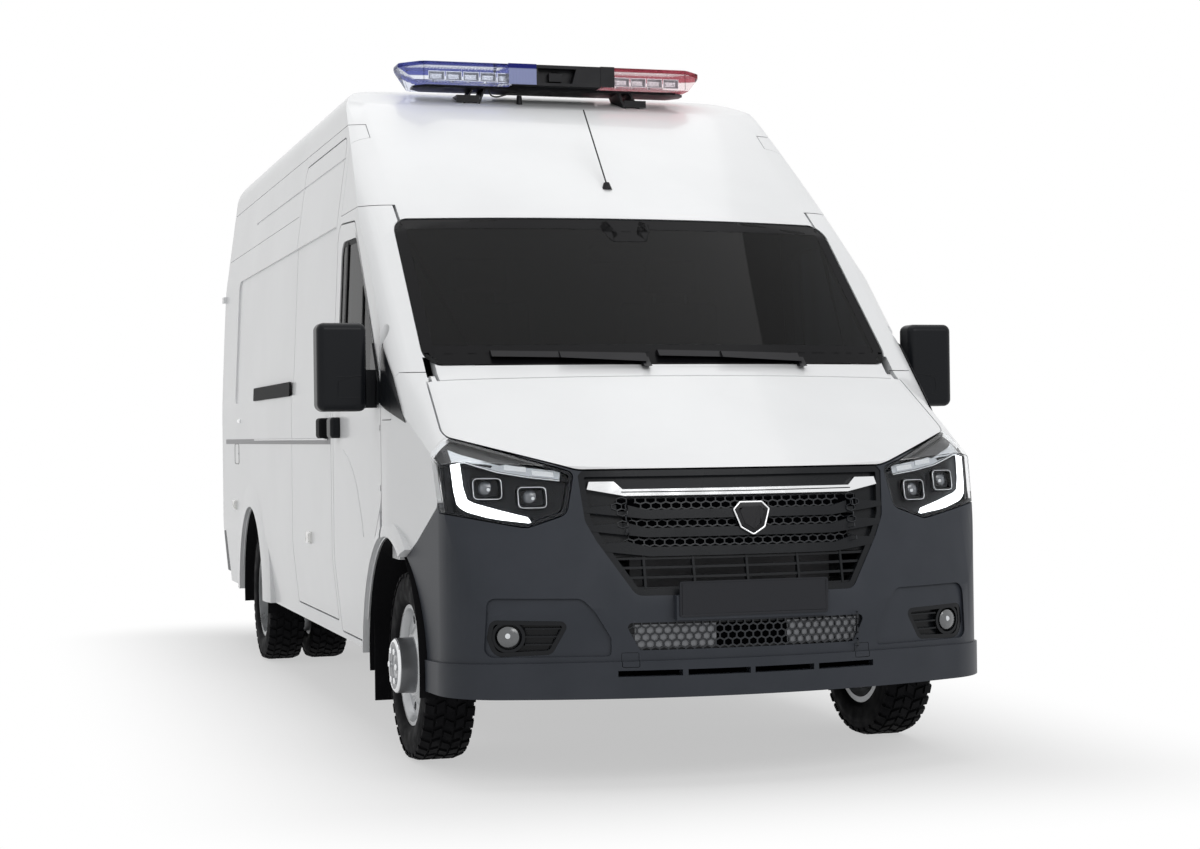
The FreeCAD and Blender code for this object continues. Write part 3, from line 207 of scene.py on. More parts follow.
def outline(corners, step=14):
    """Points round a closed shape with rounded corners, given as (across, up, radius)."""
    points = []
    for index, (across, up, radius) in enumerate(corners):
        here = Vector((across, up))
        back = Vector(corners[index - 1][:2]) - here
        ahead = Vector(corners[(index + 1) % len(corners)][:2]) - here
        reach = min(radius / math.tan(back.angle(ahead) / 2), back.length / 2, ahead.length / 2)
        start = here + back.normalized() * reach
        end = here + ahead.normalized() * reach
        for turn in range(7):
            part = turn / 6
            points.append(start * (1 - part) ** 2 + here * 2 * part * (1 - part) + end * part ** 2)
    fine = []
    for first, second in zip(points, points[1:] + points[:1]):
        parts = max(1, round((second - first).length / step))
        fine += [first.lerp(second, k / parts) for k in range(parts)]
    area = sum(a.x * b.y - b.x * a.y for a, b in zip(fine, fine[1:] + fine[:1]))
    return fine if area > 0 else fine[::-1]


def both_sides(corners):
    return corners + [(-across, up, radius) for across, up, radius in reversed(corners)]


def inset(points, width):
    """The same closed outline moved in by a width."""
    moved = []
    for before, here, after in zip(points[-1:] + points[:-1], points, points[1:] + points[:1]):
        along_rim = (after - before).normalized()
        moved.append(here + Vector((-along_rim.y, along_rim.x)) * width)
    return moved


def skin_of(*names):
    """The surface of some nodes, for other pieces to be laid on."""
    form = bmesh.new()
    for name in names:
        form.from_mesh(nodes[name].data)
    tree = BVHTree.FromBMesh(form)
    form.free()
    return tree


def lay(skin, start, way, lift):
    """Where a line meets a skin, raised off it by some tenths of a millimetre."""
    place, normal, _, _ = skin.ray_cast(start, way)
    if place is None:
        place, normal, _, _ = skin.find_nearest(start + way * 0.5)
    if normal.dot(way) > 0:
        normal = -normal
    return place + normal * lift / 1000


def from_front(skin, x, z, lift, start=AHEAD_OF_NOSE):
    return lay(skin, spot(x, start, z), Vector((0, 1, 0)), lift)


def on_front(skin, points, lift):
    return [from_front(skin, p.x, p.y, lift) for p in points]


def net(rows, around=False, closed=False, caps=False):
    """A mesh over rows of points; around closes each row, closed joins last row to first."""
    form = bmesh.new()
    grid = [[form.verts.new(point) for point in row] for row in rows]
    pairs = list(zip(grid, grid[1:])) + ([(grid[-1], grid[0])] if closed else [])
    for low, high in pairs:
        count = len(low)
        for k in range(count if around else count - 1):
            form.faces.new((low[k], low[(k + 1) % count], high[(k + 1) % count], high[k]))
    if caps:
        form.faces.new(grid[0][::-1])
        form.faces.new(grid[-1])
    return form


def solid(rows):
    """A closed form over rings of points, from its first ring to its last."""
    return net(rows, around=True, caps=True)


def hang(piece, body):
    bpy.context.scene.collection.objects.link(piece)
    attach(piece, body)
    return piece


def make(name, form, finish, body="body", thick=0):
    """Turn a mesh into a finished piece hung on the body that carries it."""
    bmesh.ops.recalc_face_normals(form, faces=form.faces)
    mesh = bpy.data.meshes.new(name)
    form.to_mesh(mesh)
    form.free()
    mesh.materials.append(finish)
    piece = bpy.data.objects.new(name, mesh)
    if thick:
        sheet = piece.modifiers.new("gauge", "SOLIDIFY")
        sheet.thickness = thick / 1000
        sheet.offset = 0
    shade(piece)
    return hang(piece, body)


def cord_line(name, points, radius, finish, body="body", closed=False):
    """A bead, seal or wire of round section that follows points."""
    curve = bpy.data.curves.new(name, "CURVE")
    curve.dimensions = "3D"
    curve.bevel_depth = radius / 1000
    curve.bevel_resolution = 2
    line = curve.splines.new("POLY")
    line.points.add(len(points) - 1)
    for knot, place in zip(line.points, points):
        knot.co = (*place, 1)
    line.use_cyclic_u = closed
    curve.materials.append(finish)
    return hang(bpy.data.objects.new(name, curve), body)


screen_glass = new_finish("tinted_screen", (0.07, 0.075, 0.08), 0.02, IOR=1.15,
                          Transmission_Weight=1.0, worn=(3, 0.0, 0.03))
dress(screen_glass, "windscreen")
border_black = new_finish("baked_border", (0.006, 0.006, 0.007), 0.25, gloss=0.05,
                          grain=(1400, 0.00002))
rubber_seal = new_finish("rubber_seal", (0.008, 0.008, 0.009), 0.6, gloss=0.15,
                         grain=(800, 0.0001))
screen_skin = skin_of("windscreen")
screen_rim = outline(both_sides([(903, 1424, 60), (891, 2010, 60)]))
make("screen_border", net([on_front(screen_skin, inset(screen_rim, width), 0.5)
                           for width in (0, 20, 42)], around=True), border_black)
# the border runs deeper at the foot of the glass, over the wipers' rest
make("screen_foot_border",
     net([on_front(screen_skin, [Vector((x, height)) for x in range(-865, 866, 30)], 0.5)
          for height in (1462, 1473, 1484, 1495)]), border_black)
cord_line("screen_seal", on_front(screen_skin, inset(screen_rim, -3), 0), 3.4, rubber_seal,
          closed=True)
# the shaded pad and housing of the rain sensor and inside mirror
pod_rim = outline(both_sides([(70, 1915, 14), (115, 2000, 10)]), 10)
make("sensor_shade", solid([on_front(screen_skin, inset(pod_rim, width), 0.6)
                            for width in (0, 20, 44)]), border_black)
pod_black = new_finish("pod_plastic", (0.012, 0.012, 0.013), 0.5, gloss=0.2,
                       grain=(900, 0.0001))
POD_DEPTHS = ((8, 6), (30, 10), (52, 24), (60, 44))
make("sensor_pod", solid([[place + Vector((0, depth / 1000, -depth / 4000))
                           for place in on_front(screen_skin, inset(pod_rim, shrink), -6)]
                          for depth, shrink in POD_DEPTHS]), pod_black)
mirror_rim = outline(both_sides([(108, 1852, 24), (112, 1900, 24)]), 10)
MIRROR_DEPTHS = ((1425, 0), (1430, 12), (1448, 14), (1456, 0))
make("inside_mirror", solid([[spot(p.x, depth, p.y + 4) for p in inset(mirror_rim, -grow)]
                             for depth, grow in MIRROR_DEPTHS]), pod_black)

# ------------------------------------------------------------------- door panes
# Toughened and dark tinted glass in the front and rear doors, held in rubber
# run channels; two black bars divide each front pane.
SIDES = ((-1, "right"), (1, "left"))


def on_side(skin, points, lift, side=-1):
    return [lay(skin, spot(side * BESIDE, p.x, p.y), Vector((-side, 0, 0)), lift)
            for p in points]


def from_behind(skin, x, z, lift, start=BEHIND_TAIL):
    return lay(skin, spot(x, start, z), Vector((0, -1, 0)), lift)


def on_rear(skin, points, lift, start=BEHIND_TAIL):
    return [from_behind(skin, p.x, p.y, lift, start) for p in points]


side_glass = new_finish("tinted_side_glass", (0.03, 0.034, 0.037), 0.02, IOR=1.07,
                        Transmission_Weight=1.0, worn=(3, 0.0, 0.03))
dress(side_glass, "door_glass_left", "door_glass_right", "rear_glass_left", "rear_glass_right")
DOOR_GLASS = [(1135, 1350, 30), (1135, 1410, 30), (1680, 1955, 60), (2005, 1962, 60),
              (2005, 1350, 40)]
BAR_FOOT = 1360
# bars: place at the foot and at the top, height of the top, half width
DOOR_BARS = [(1470, 1500, 1750, 9), (1880, 1872, 1950, 16)]
REAR_GLASS = [(130, 1450, 50), (788, 1450, 50), (770, 2080, 50), (130, 2080, 50)]
for side, hand in SIDES:
    pane = skin_of("door_glass_" + hand)
    carrier = "front_door_" + hand
    make("door_run_" + hand,
         net([on_side(pane, inset(outline(DOOR_GLASS), width), 1.0, side)
              for width in (1, 10, 20)], around=True), rubber_seal, carrier, thick=1.5)
    for bar, (low_y, high_y, top, half) in enumerate(DOOR_BARS):
        rows = [on_side(pane, [Vector((low_y + (high_y - low_y) * k / 12 + shift,
                                       BAR_FOOT + (top - BAR_FOOT) * k / 12))
                               for k in range(13)], 3.0, side) for shift in (-half, 0, half)]
        make("door_bar_%d_%s" % (bar, hand), net(rows), rubber_seal, carrier, thick=4)
    pane = skin_of("rear_glass_" + hand)
    rim = outline([(side * x, z, radius) for x, z, radius in REAR_GLASS])
    make("rear_run_" + hand,
         net([on_rear(pane, inset(rim, width), 1.5) for width in (2, 8, 20)], around=True),
         rubber_seal, "rear_door_" + hand, thick=3)

# -------------------------------------------------------------- wipers and aerial
# Two wiper arms on the cowl with rubber blades, and the short whip aerial
# screwed to the forehead; all of them black.
trim_black = new_finish("trim_black", (0.008, 0.008, 0.010), 0.36, gloss=0.15,
                        grain=(1200, 0.00005), worn=(9, 0.28, 0.42))
dress(trim_black, "wipers", "roof_fittings")

# ------------------------------------------------------------------- front bumper
# One injection moulding across the nose, slate grey through and through,
# clipped to the rail ends, with a fine satin grain; the rear step matches.


def oblong(left, right, low, high, radius):
    return [(left, low, radius), (right, low, radius), (right, high, radius),
            (left, high, radius)]


slate_plastic = new_finish("slate_plastic", (0.030, 0.034, 0.042), 0.42, gloss=0.22,
                           grain=(1500, 0.00003),
                           patches=((0.027, 0.031, 0.039), (0.033, 0.037, 0.046), 5))
dress(slate_plastic, "front_bumper", "rear_step")
shadow_black = new_finish("shadow_black", (0.0015, 0.0015, 0.002), 0.9, gloss=0.0,
                          grain=(400, 0.0003))
# near-black sheet behind the slots, bent back towards the wheels: painted shade standing for the
# dark space behind them
make("bumper_slot_shade_sheet", net([[spot(x, 150 + abs(x) * 0.12, z) for x in range(-560, 561, 80)]
                              for z in (310, 380, 450)]), shadow_black, thick=2)
plate_black = new_finish("blank_plate", (0.013, 0.014, 0.018), 0.4, gloss=0.25,
                         grain=(700, 0.00003))
plate_rim = outline(oblong(-256, 266, 566, 682, 9), 10)
PLATE_STEPS = ((0, -15), (0, -18.6), (5, -18.6), (6, -17.6), (9, -17.6))
make("number_plate", solid([[spot(p.x, back, p.y) for p in inset(plate_rim, shrink)]
                            for shrink, back in PLATE_STEPS]), plate_black)

# ----------------------------------------------------------------------- grille
# Black moulded grille with three broad blades in front of an open honeycomb,
# a bright plated strip clipped over them and a plain shield in the middle.
gloss_black = new_finish("grille_black", (0.009, 0.010, 0.012), 0.28, gloss=0.18,
                         grain=(900, 0.00003), worn=(7, 0.2, 0.36))
dress(gloss_black, "grille")
plated = new_finish("bright_plating", (0.78, 0.79, 0.80), 0.08, metallic=1.0,
                    worn=(12, 0.05, 0.16))
dress(plated, "grille_strip")
fins = new_finish("radiator_fins", (0.05, 0.05, 0.053), 0.5, metallic=0.6, grain=(600, 0.0005))
dress(fins, "radiator")
mesh_black = new_finish("honeycomb_black", (0.022, 0.024, 0.028), 0.32, gloss=0.3,
                        grain=(900, 0.00003))
condenser = new_finish("condenser_fins", (0.16, 0.165, 0.175), 0.4, metallic=0.5,
                       grain=(500, 0.0006))
grille_skin = skin_of("grille")


def hoop(radius, count):
    """Pairs of offsets to points shared out evenly round a circle."""
    turns = [2 * math.pi * k / count for k in range(count)]
    return [(radius * math.cos(turn), radius * math.sin(turn)) for turn in turns]


def honeycomb(name, low, high, half, cell, flat, web, slope, proud=3, depth=4):
    """Hexagon mesh between two heights, standing just proud of the plate behind it."""
    form = bmesh.new()
    middle = (low + high) / 2
    pitch = flat * 0.75
    for row in range(-1, max(1, round((high - low) / pitch)) + 1):
        for column in range(int(half * 2 / cell) + 2):
            x = -half + (column + (row % 2) / 2) * cell
            z = low + row * pitch + flat / 2
            if abs(x) > half or not low - flat * 0.3 < z < high + flat * 0.3:
                continue
            back = from_front(grille_skin, x, middle, 0).y
            turn_in = (from_front(grille_skin, x + 8, middle, 0).y - back) / 8
            corners = []
            for up, across in hoop(1, 6):
                u, v = across * cell / math.sqrt(3), up * flat / 2
                y = back + turn_in * u + (slope * (z + v - middle) - proud) / 1000
                corners.append(form.verts.new(((x + u) / 1000, y, (z + v) / 1000)))
            form.faces.new(corners)
    holes = form.faces[:]
    form.normal_update()
    bmesh.ops.inset_individual(form, faces=holes, thickness=web / 1000, depth=0)
    bmesh.ops.delete(form, geom=holes, context="FACES")
    bmesh.ops.remove_doubles(form, verts=form.verts, dist=0.0006)
    make(name, form, mesh_black, thick=depth)


def backing(name, low, high, near, far, slope, finish):
    """A sheet behind the honeycomb, level with the plate at the strip's middle."""
    middle = (low + high) / 2
    across = [near + (far - near) * k / 24 for k in range(25)]
    line = [from_front(grille_skin, x, middle, 0).y - 0.001 for x in across]
    make(name, net([[Vector((x / 1000, y + slope * (z - middle) / 1000, z / 1000))
                     for x, y in zip(across, line)] for z in (low, high)]), finish)


# the grille's face leans back over its three openings; foot, head and half width of each
FACE_SLOPE = 0.222
OPENINGS = [(914, 948, 428), (856, 886, 412), (794, 826, 392)]
# near-black sheets behind the three openings: painted shade for the dark space behind the grille
for number, (low, high, half) in enumerate(OPENINGS):
    backing("honeycomb_back_%d" % number, low - 3, high + 3, -half, half, FACE_SLOPE,
            shadow_black)
    honeycomb("honeycomb_%d" % number, low, high, half, 34, 26, 2.6, FACE_SLOPE)
honeycomb("intake_honeycomb", 462, 545, 400, 29, 30, 3.0, 0.0, proud=6, depth=5)
# behind the intake: condenser fins at the ends and a near-black sheet of painted shade in the
# middle
for finish, near, far in ((condenser, -392, -120), (shadow_black, -120, 130),
                          (condenser, 130, 392)):
    backing("intake_back_%d" % (near + 400), 466, 541, near, far, 0, finish)
# near-black line along the face of the plated strip: a painted dark reflection in the plating
strip_skin = skin_of("grille_strip")
cord_line("strip_dark_reflection",
          [from_front(strip_skin, x, 973 + abs(x) * 0.004, -0.6) for x in range(-410, 411, 20)],
          2.0, shadow_black)
# shield: plated rim round a black enamel centre with one plain ridge
BADGE = [(-16, 850, 10), (28, 824, 14), (72, 850, 10), (94, 912, 8), (68, 938, 8),
         (-12, 938, 8), (-38, 912, 8)]
badge_rim = outline(BADGE, 6)
cord_line("badge_rim", on_front(strip_skin, inset(badge_rim, 3), 0), 3.4, plated, closed=True)
enamel_black = new_finish("badge_enamel", (0.006, 0.006, 0.008), 0.3, gloss=0.2,
                          grain=(500, 0.00002))
BADGE_STEPS = ((5, 0.8), (11, 1.6), (19, 2.0), (21, 4.0))
make("badge_centre", solid([on_front(strip_skin, inset(badge_rim, shrink), rise)
                            for shrink, rise in BADGE_STEPS]), enamel_black)

# --------------------------------------------------------------------- headlamps
# Clear polycarbonate lens over a black housing: two projectors in rounded
# square bezels, an L of white daytime light, and the turn lamp above a shelf.
lens = new_finish("clear_lens", (0.98, 0.985, 0.99), 0.01, IOR=1.12, Transmission_Weight=1.0,
                  worn=(5, 0.0, 0.02))
dress(lens, "headlamp_lenses")
lamp_black = new_finish("lamp_housing", (0.010, 0.011, 0.013), 0.32, gloss=0.15,
                        grain=(120, 0.00002))
dress(lamp_black, "headlamps")
reflector = new_finish("lamp_reflector", (0.62, 0.64, 0.66), 0.16, metallic=1.0,
                       grain=(260, 0.0004))
turn_lens = new_finish("turn_lamp", (0.42, 0.45, 0.48), 0.18, metallic=0.35, Coat_Weight=0.6,
                       grain=(180, 0.0006))
projector_glass = new_finish("projector_glass", (0.10, 0.11, 0.125), 0.03, Coat_Weight=1.0,
                             Coat_Roughness=0.02, worn=(40, 0.02, 0.06))
daylight = new_finish("daytime_light", (0.9, 0.93, 0.95), 0.3, grain=(300, 0.0003),
                      Emission_Color=(0.95, 0.98, 1.0, 1), Emission_Strength=2.6)
lens_skin = skin_of("headlamp_lenses")


def lamp_sheet(name, rows, depth, finish, side):
    """A sheet behind the headlamp lens, given as rows of (x, z) seen from the front."""
    laid = [[from_front(lens_skin, side * x, z, -depth) for x, z in row] for row in rows]
    make(name, net(laid), finish, thick=3)


def behind_lens(point, back):
    """A point some millimetres straight back from the inside of the lens."""
    place = from_front(lens_skin, point.x, point.y, -13)
    return Vector((point.x / 1000, place.y + back / 1000, point.y / 1000))


def along(points, parts):
    """Points shared out evenly along a run of corners."""
    run = [Vector(p) for p in points]
    lengths = [(b - a).length for a, b in zip(run, run[1:])]
    total = sum(lengths)
    spread = []
    for k in range(parts + 1):
        left = total * k / parts
        for a, b, length in zip(run, run[1:], lengths):
            if left <= length + 1e-6:
                spread.append(a.lerp(b, min(1, left / length)))
                break
            left -= length
    return spread


# black liner under the top edge and the side return of each lens
liner = bmesh.new()
liner.from_mesh(nodes["headlamp_lenses"].data)
liner.normal_update()
clear = [face for face in liner.faces if face.normal.z <= 0.5 and (
    abs(face.normal.x) <= 0.6 or face.normal.x * face.calc_center_median().x <= 0)]
bmesh.ops.delete(liner, geom=clear, context="FACES")
pulls = [(corner, corner.normal.copy()) for corner in liner.verts]
for corner, normal in pulls:
    corner.co -= normal * 0.015
make("lamp_liner", liner, lamp_black)
DAYTIME = [[(943, 1072), (938, 990), (930, 938), (905, 918), (824, 893), (700, 877)],
           [(914, 1078), (908, 1000), (898, 958), (880, 946), (800, 921), (712, 897)]]
TURN = [[(937, 1090), (900, 1084), (800, 1050), (745, 1040), (702, 1032), (604, 1020)],
        [(934, 1128), (900, 1112), (800, 1080), (745, 1067), (702, 1060), (600, 1048)]]
TURN_BLOCKS = [(742, 1054), (656, 1036)]
PROJECTORS = [(690, 960), (828, 990)]
BEZEL_STEPS = ((-1, 16), (-1, 2), (4, 0), (9, 14), (14, 30))
for side, hand in SIDES:
    lamp_sheet("daytime_" + hand, [along(edge, 26) for edge in DAYTIME], 10, daylight, side)
    low, high = [along(edge, 22) for edge in TURN]
    lamp_sheet("turn_" + hand, [low, high], 12, turn_lens, side)
    # plated line under the turn lamp and two bright blocks in it
    edge = [from_front(lens_skin, side * x, z - 4, -9) for x, z in low]
    cord_line("turn_edge_" + hand, edge, 2.2, reflector)
    for block, (x, z) in enumerate(TURN_BLOCKS):
        rows = [[(x - 34, z - 9), (x + 34, z - 1)], [(x - 34, z + 8), (x + 34, z + 15)]]
        lamp_sheet("turn_block_%d_%s" % (block, hand), rows, 9, reflector, side)
    for number, (x, z) in enumerate(PROJECTORS):
        tag = "%d_%s" % (number, hand)
        face = from_front(lens_skin, side * x, z, -14)
        rim = outline(oblong(side * x - 47, side * x + 47, z - 37, z + 37, 20), 8)
        make("bezel_" + tag, net([[behind_lens(p, back) for p in inset(rim, shrink)]
                                  for shrink, back in BEZEL_STEPS], around=True), lamp_black)
        cord_line("bezel_edge_" + tag, [behind_lens(p, 1) for p in inset(rim, 3)], 1.6,
                  reflector, closed=True)
        bends = [math.radians(90 * step / 8.5) for step in range(1, 9)]
        make("projector_" + tag,
             solid([[face + Vector((u, 0.034 - math.cos(bend) * 0.022, v))
                     for u, v in hoop(math.sin(bend) * 0.031, 28)] for bend in bends]),
             projector_glass)
        make("projector_glint_" + tag,
             solid([[face + Vector((u, 0.0105 - radius * 0.2, v)) for u, v in hoop(radius, 10)]
                    for radius in (0.006, 0.0035, 0.001)]), reflector)

# --------------------------------------------------------------------- fog lamps
# Round glass lamps screwed into black finned housings at the corners of the
# bumper, each dome following the bumper's turn.
dress(gloss_black, "fog_lamps")
fog_skin = skin_of("fog_lamps")
fog_glass = new_finish("fog_glass", (0.09, 0.095, 0.1), 0.06, Coat_Weight=1.0,
                       grain=(120, 0.0016, 2.0))
DOME = ((0.034, 0), (0.034, 0.005), (0.028, 0.009), (0.016, 0.012), (0.005, 0.013))
for side, hand in SIDES:
    face = from_front(fog_skin, side * 789, 506, 1)
    make("fog_lens_" + hand,
         solid([[face + Vector((u, side * u * 0.35 - rise, v)) for u, v in hoop(radius, 32)]
                for radius, rise in DOME]), fog_glass)
    make("fog_glint_" + hand,
         solid([[face + Vector((u - 0.004, -0.0163 + radius * 0.2, v + 0.004))
                 for u, v in hoop(radius, 12)] for radius in (0.009, 0.006, 0.002)]), reflector)

# --------------------------------------------------------------- mirrors and handles
# Folding mirrors on cast arms with two panes each, pull handles on the doors,
# all in black moulded plastic.
mirror_black = new_finish("mirror_black", (0.007, 0.008, 0.010), 0.34, gloss=0.15,
                          grain=(1300, 0.00004))
dress(mirror_black, "door_fittings_left", "door_fittings_right")
mirror_pane = new_finish("mirror_pane", (0.8, 0.82, 0.84), 0.02, metallic=1.0,
                         worn=(6, 0.01, 0.05))
# lines moulded into the front of each mirror head
MIRROR_LINES = [[(1100, 1392), (1150, 1386), (1196, 1388)], [(1108, 1312), (1190, 1312)],
                [(1150, 1384), (1186, 1374), (1190, 1340), (1186, 1322)]]
for side, hand in SIDES:
    carrier = "front_door_" + hand
    head = skin_of("door_fittings_" + hand)
    for pane, (low, high) in enumerate(((1285, 1372), (1384, 1560))):
        rim = outline(oblong(side * 1104, side * 1240, low, high, 16), 12)
        make("mirror_pane_%d_%s" % (pane, hand),
             solid([on_rear(head, inset(rim, shrink), rise, 1500)
                    for shrink, rise in ((0, -1), (0, 1.5), (3, 2))]), mirror_pane, carrier)
    for line, points in enumerate(MIRROR_LINES):
        laid = [from_front(head, side * x, z, -0.6, 700) for x, z in along(points, 14)]
        cord_line("mirror_line_%d_%s" % (line, hand), laid, 1.8, mirror_black, carrier)

# ------------------------------------------------------------------ corner covers
# Black moulded covers in front of the door windows, one clipped to the wing and
# one to the door, with black film on the door's frame above them.


def over_gaps(skin, point, lift, side):
    """A point on the side panels that stays level across the joints between them."""
    near = on_side(skin, [point + Vector(shift) for shift in
                          ((0, 0), (9, 0), (-9, 0), (0, 9), (0, -9))], 0, side)
    place = spot(0, point.x, point.y)
    place.x = side * (max(found.x * side for found in near) + lift / 1000)
    return place


def ruled(low_edge, high_edge, parts):
    """Rows of points from one edge to another."""
    return [[low.lerp(high, k / parts) for low, high in zip(low_edge, high_edge)]
            for k in range(parts + 1)]


WING_COVER = [[(708, 1216), (1052, 1288)],
              [(708, 1216), (770, 1276), (900, 1392), (1052, 1514)]]
DOOR_COVER = [(1066, 1290, 4), (1132, 1304, 10), (1132, 1420, 4), (1066, 1420, 4)]
FILM = [[(1128, 1372), (1128, 1414), (1674, 1957)], [(1067, 1372), (1067, 1386), (1700, 1989)]]
for side, hand in SIDES:
    carrier = "front_door_" + hand
    wing_skin = skin_of("side_wall_" + hand, "front_wings", "cowl", "roof")
    rows = ruled(*(along(edge, 26) for edge in WING_COVER), 9)
    make("corner_cover_wing_" + hand,
         net([[over_gaps(wing_skin, point, 2, side) for point in row] for row in rows]),
         mirror_black, thick=2)
    door_skin = skin_of("door_" + hand)
    rim = outline(DOOR_COVER, 12)
    make("corner_cover_door_" + hand,
         solid([on_side(door_skin, inset(rim, shrink), rise, side)
                for shrink, rise in ((0, -0.5), (0, 1.4), (3, 2.2))]), mirror_black, carrier)
    rows = ruled(*(along(edge, 30) for edge in FILM), 4)
    make("door_frame_film_" + hand, net([on_side(door_skin, row, 2.2, side) for row in rows]),
         mirror_black, carrier)

# ------------------------------------------------------------- sides of the body
# Rail of the sliding door, a grey belt strip whose grey is painted shade under the belt
# crease, pale marker lamps, fuel filler flap and the sliding door's keeper, all clipped or
# screwed to the side panels.
rail_black = new_finish("rail_black", (0.006, 0.006, 0.007), 0.6, gloss=0.06,
                        grain=(700, 0.00008))
dress(rail_black, "side_trim")
marker_lens = new_finish("marker_lens", (0.88, 0.88, 0.86), 0.2, Coat_Weight=0.4,
                         grain=(160, 0.0008))
shut_line = new_finish("shut_line", (0.05, 0.05, 0.052), 0.6, grain=(500, 0.0001))
# grey that paints the shade under the belt crease
crease_shade_grey = new_finish("belt_crease_shade", (0.30, 0.30, 0.31), 0.5, grain=(900, 0.00006))


def side_plate(name, skin, corners, side, rises, finish):
    """A small cover standing off the side panel, given as (y, z, radius)."""
    rim = outline(corners, 8)
    make(name, solid([on_side(skin, inset(rim, shrink), rise, side) for shrink, rise in rises]),
         finish)


# pressed line that drops from the belt down the front door
PRESS = [(1864, 1117), (1740, 1083), (1640, 1034), (1560, 974), (1500, 904), (1460, 850),
         (1425, 790)]
FLANKS = {"right": ("side_wall_right", "sliding_door"), "left": ("side_wall_left",)}
for side, hand in SIDES:
    flank = skin_of(*FLANKS[hand])
    for number, (y, z) in enumerate(((2740, 730), (5397, 800))):
        side_plate("marker_%d_%s" % (number, hand), flank,
                   oblong(y - 50, y + 50, z - 26, z + 26, 8), side,
                   ((0, -1), (0, 8), (4, 12), (10, 14)), marker_lens)
    # thin grey strip along the belt line: its grey is painted shade under the belt crease
    side_plate("belt_crease_shade_" + hand, flank, oblong(2172, 5790, 1140, 1166, 6), side,
               ((0, -1), (0, 1.6), (2, 2.4)), crease_shade_grey)
    cord_line("door_press_" + hand,
              on_side(skin_of("door_" + hand), along(PRESS, 40), -1.5, side), 3.6, enamel,
              "front_door_" + hand)
cord_line("rail_lip", [spot(-1036, y, 1161) for y in (2215, 4540)], 4, enamel)
flank = skin_of("side_wall_right")
cord_line("fuel_flap_line", on_side(flank, outline(oblong(5215, 5395, 1030, 1140, 26), 10), 0.2),
          1.5, shut_line, closed=True)
side_plate("fuel_flap_catch", flank, oblong(5226, 5240, 1078, 1094, 6), -1,
           ((0, -1), (0, 2), (2, 3)), plated)
side_plate("door_keeper", flank, oblong(5120, 5200, 1256, 1276, 8), -1,
           ((0, -1), (0, 7), (5, 12)), plated)

# ------------------------------------------------------------------- wheel arches
# Folded black plastic liner inside each arch, clipped behind the painted lip
# that is rolled round the arch's edge.
FRONT_AXLE, REAR_AXLE, WHEEL_HEIGHT = 967, 4712, 342
liner_black = new_finish("arch_liner", (0.006, 0.006, 0.007), 0.85, gloss=0.1,
                         grain=(200, 0.0008))
ARC = [math.radians(-8 + 196 * k / 40) for k in range(41)]


def round_arch(x, axle, radius, arc):
    return [spot(x, axle + radius * math.cos(turn), WHEEL_HEIGHT + radius * math.sin(turn))
            for turn in arc]


for side, hand in SIDES:
    for name, axle, lip in (("front", FRONT_AXLE, ARC[5:26]), ("rear", REAR_AXLE, ARC[5:-4])):
        tag = "%s_%s" % (name, hand)
        make("arch_liner_" + tag, net([round_arch(side * x, axle, 462, ARC)
                                       for x in (1016, 900, 780, 650)]), liner_black, thick=1.5)
        cord_line("arch_lip_" + tag, round_arch(side * 1022, axle, 467, lip), 3.5, enamel)

# ------------------------------------------------------------------------- wheels
# Steel wheels sprayed silver, singles at the front with a projecting hub cap
# and twins at the rear, on radial tyres with a block tread.
FRONT_WHEEL_X, REAR_WHEEL_X = 875, (665, 895)
rubber = new_finish("tyre_rubber", (0.006, 0.006, 0.007), 0.8, gloss=0.08,
                    grain=(350, 0.0002), worn=(20, 0.58, 0.85))
dress(rubber, "mudflaps")
silver = new_finish("silver_wheel_paint", (0.46, 0.47, 0.48), 0.32, metallic=0.75,
                    grain=(900, 0.00004), worn=(15, 0.25, 0.42))
dress(silver, "front_rim_left", "front_rim_right", "rear_rims_left", "rear_rims_right")
TYRE_SECTION = [(-65, 206), (-69, 219), (-78, 223), (-85, 232), (-88, 236), (-91, 250),
                (-94, 272), (-93, 290), (-92, 292), (-92, 296), (-90, 308), (-86, 320),
                (-78, 329), (-64, 333), (0, 334)]
# tread: inner and outer edge across the tyre, start and length in pitches, skew
TREAD = [(-91, -58, 0.00, 0.66, 0.10), (-52, -22, 0.42, 0.70, -0.24),
         (-16, 16, 0.05, 0.64, 0.30), (22, 52, 0.62, 0.70, -0.24), (58, 91, 0.30, 0.66, 0.10)]
PITCHES = 38
SHOULDER, BLOCK_FOOT, BLOCK_TOP = 66, 331, 341.6


def spun(section, count, closed=False):
    """A ring about the X axis from its section, given as (along, radius)."""
    return net([[Vector((u, across, up)) / 1000 for across, up in hoop(radius, count)]
                for u, radius in section], around=True, closed=closed)


def tyre_mesh():
    """One tyre about the X axis: carcass spun from its section, blocks set round it."""
    form = spun(TYRE_SECTION + [(-u, radius) for u, radius in reversed(TYRE_SECTION[:-1])], 96,
                closed=True)
    for pitch in range(PITCHES):
        for near, far, start, length, skew in TREAD:
            low, high = [], []
            for u, part in ((near, 0), (far, 0), (far, 1), (near, 1)):
                lean = skew * (u - near) / (far - near)
                angle = 2 * math.pi * (pitch + start + part * length + lean) / PITCHES
                inward = 1.6 if part else -1.6
                fall = max(0, abs(u) - SHOULDER)
                taper = 1.5 if u == near else -1.5
                for ring, edge, reach, turn in (
                        (low, u, BLOCK_FOOT - fall * 0.5, angle),
                        (high, u + taper, BLOCK_TOP - fall * 0.42, angle - inward / 342)):
                    ring.append(form.verts.new((edge / 1000, reach * math.cos(turn) / 1000,
                                                reach * math.sin(turn) / 1000)))
            form.faces.new(high)
            for k in range(4):
                form.faces.new((low[k], low[(k + 1) % 4], high[(k + 1) % 4], high[k]))
    bmesh.ops.recalc_face_normals(form, faces=form.faces)
    mesh = bpy.data.meshes.new("tyre")
    form.to_mesh(mesh)
    form.free()
    mesh.materials.append(rubber)
    return mesh


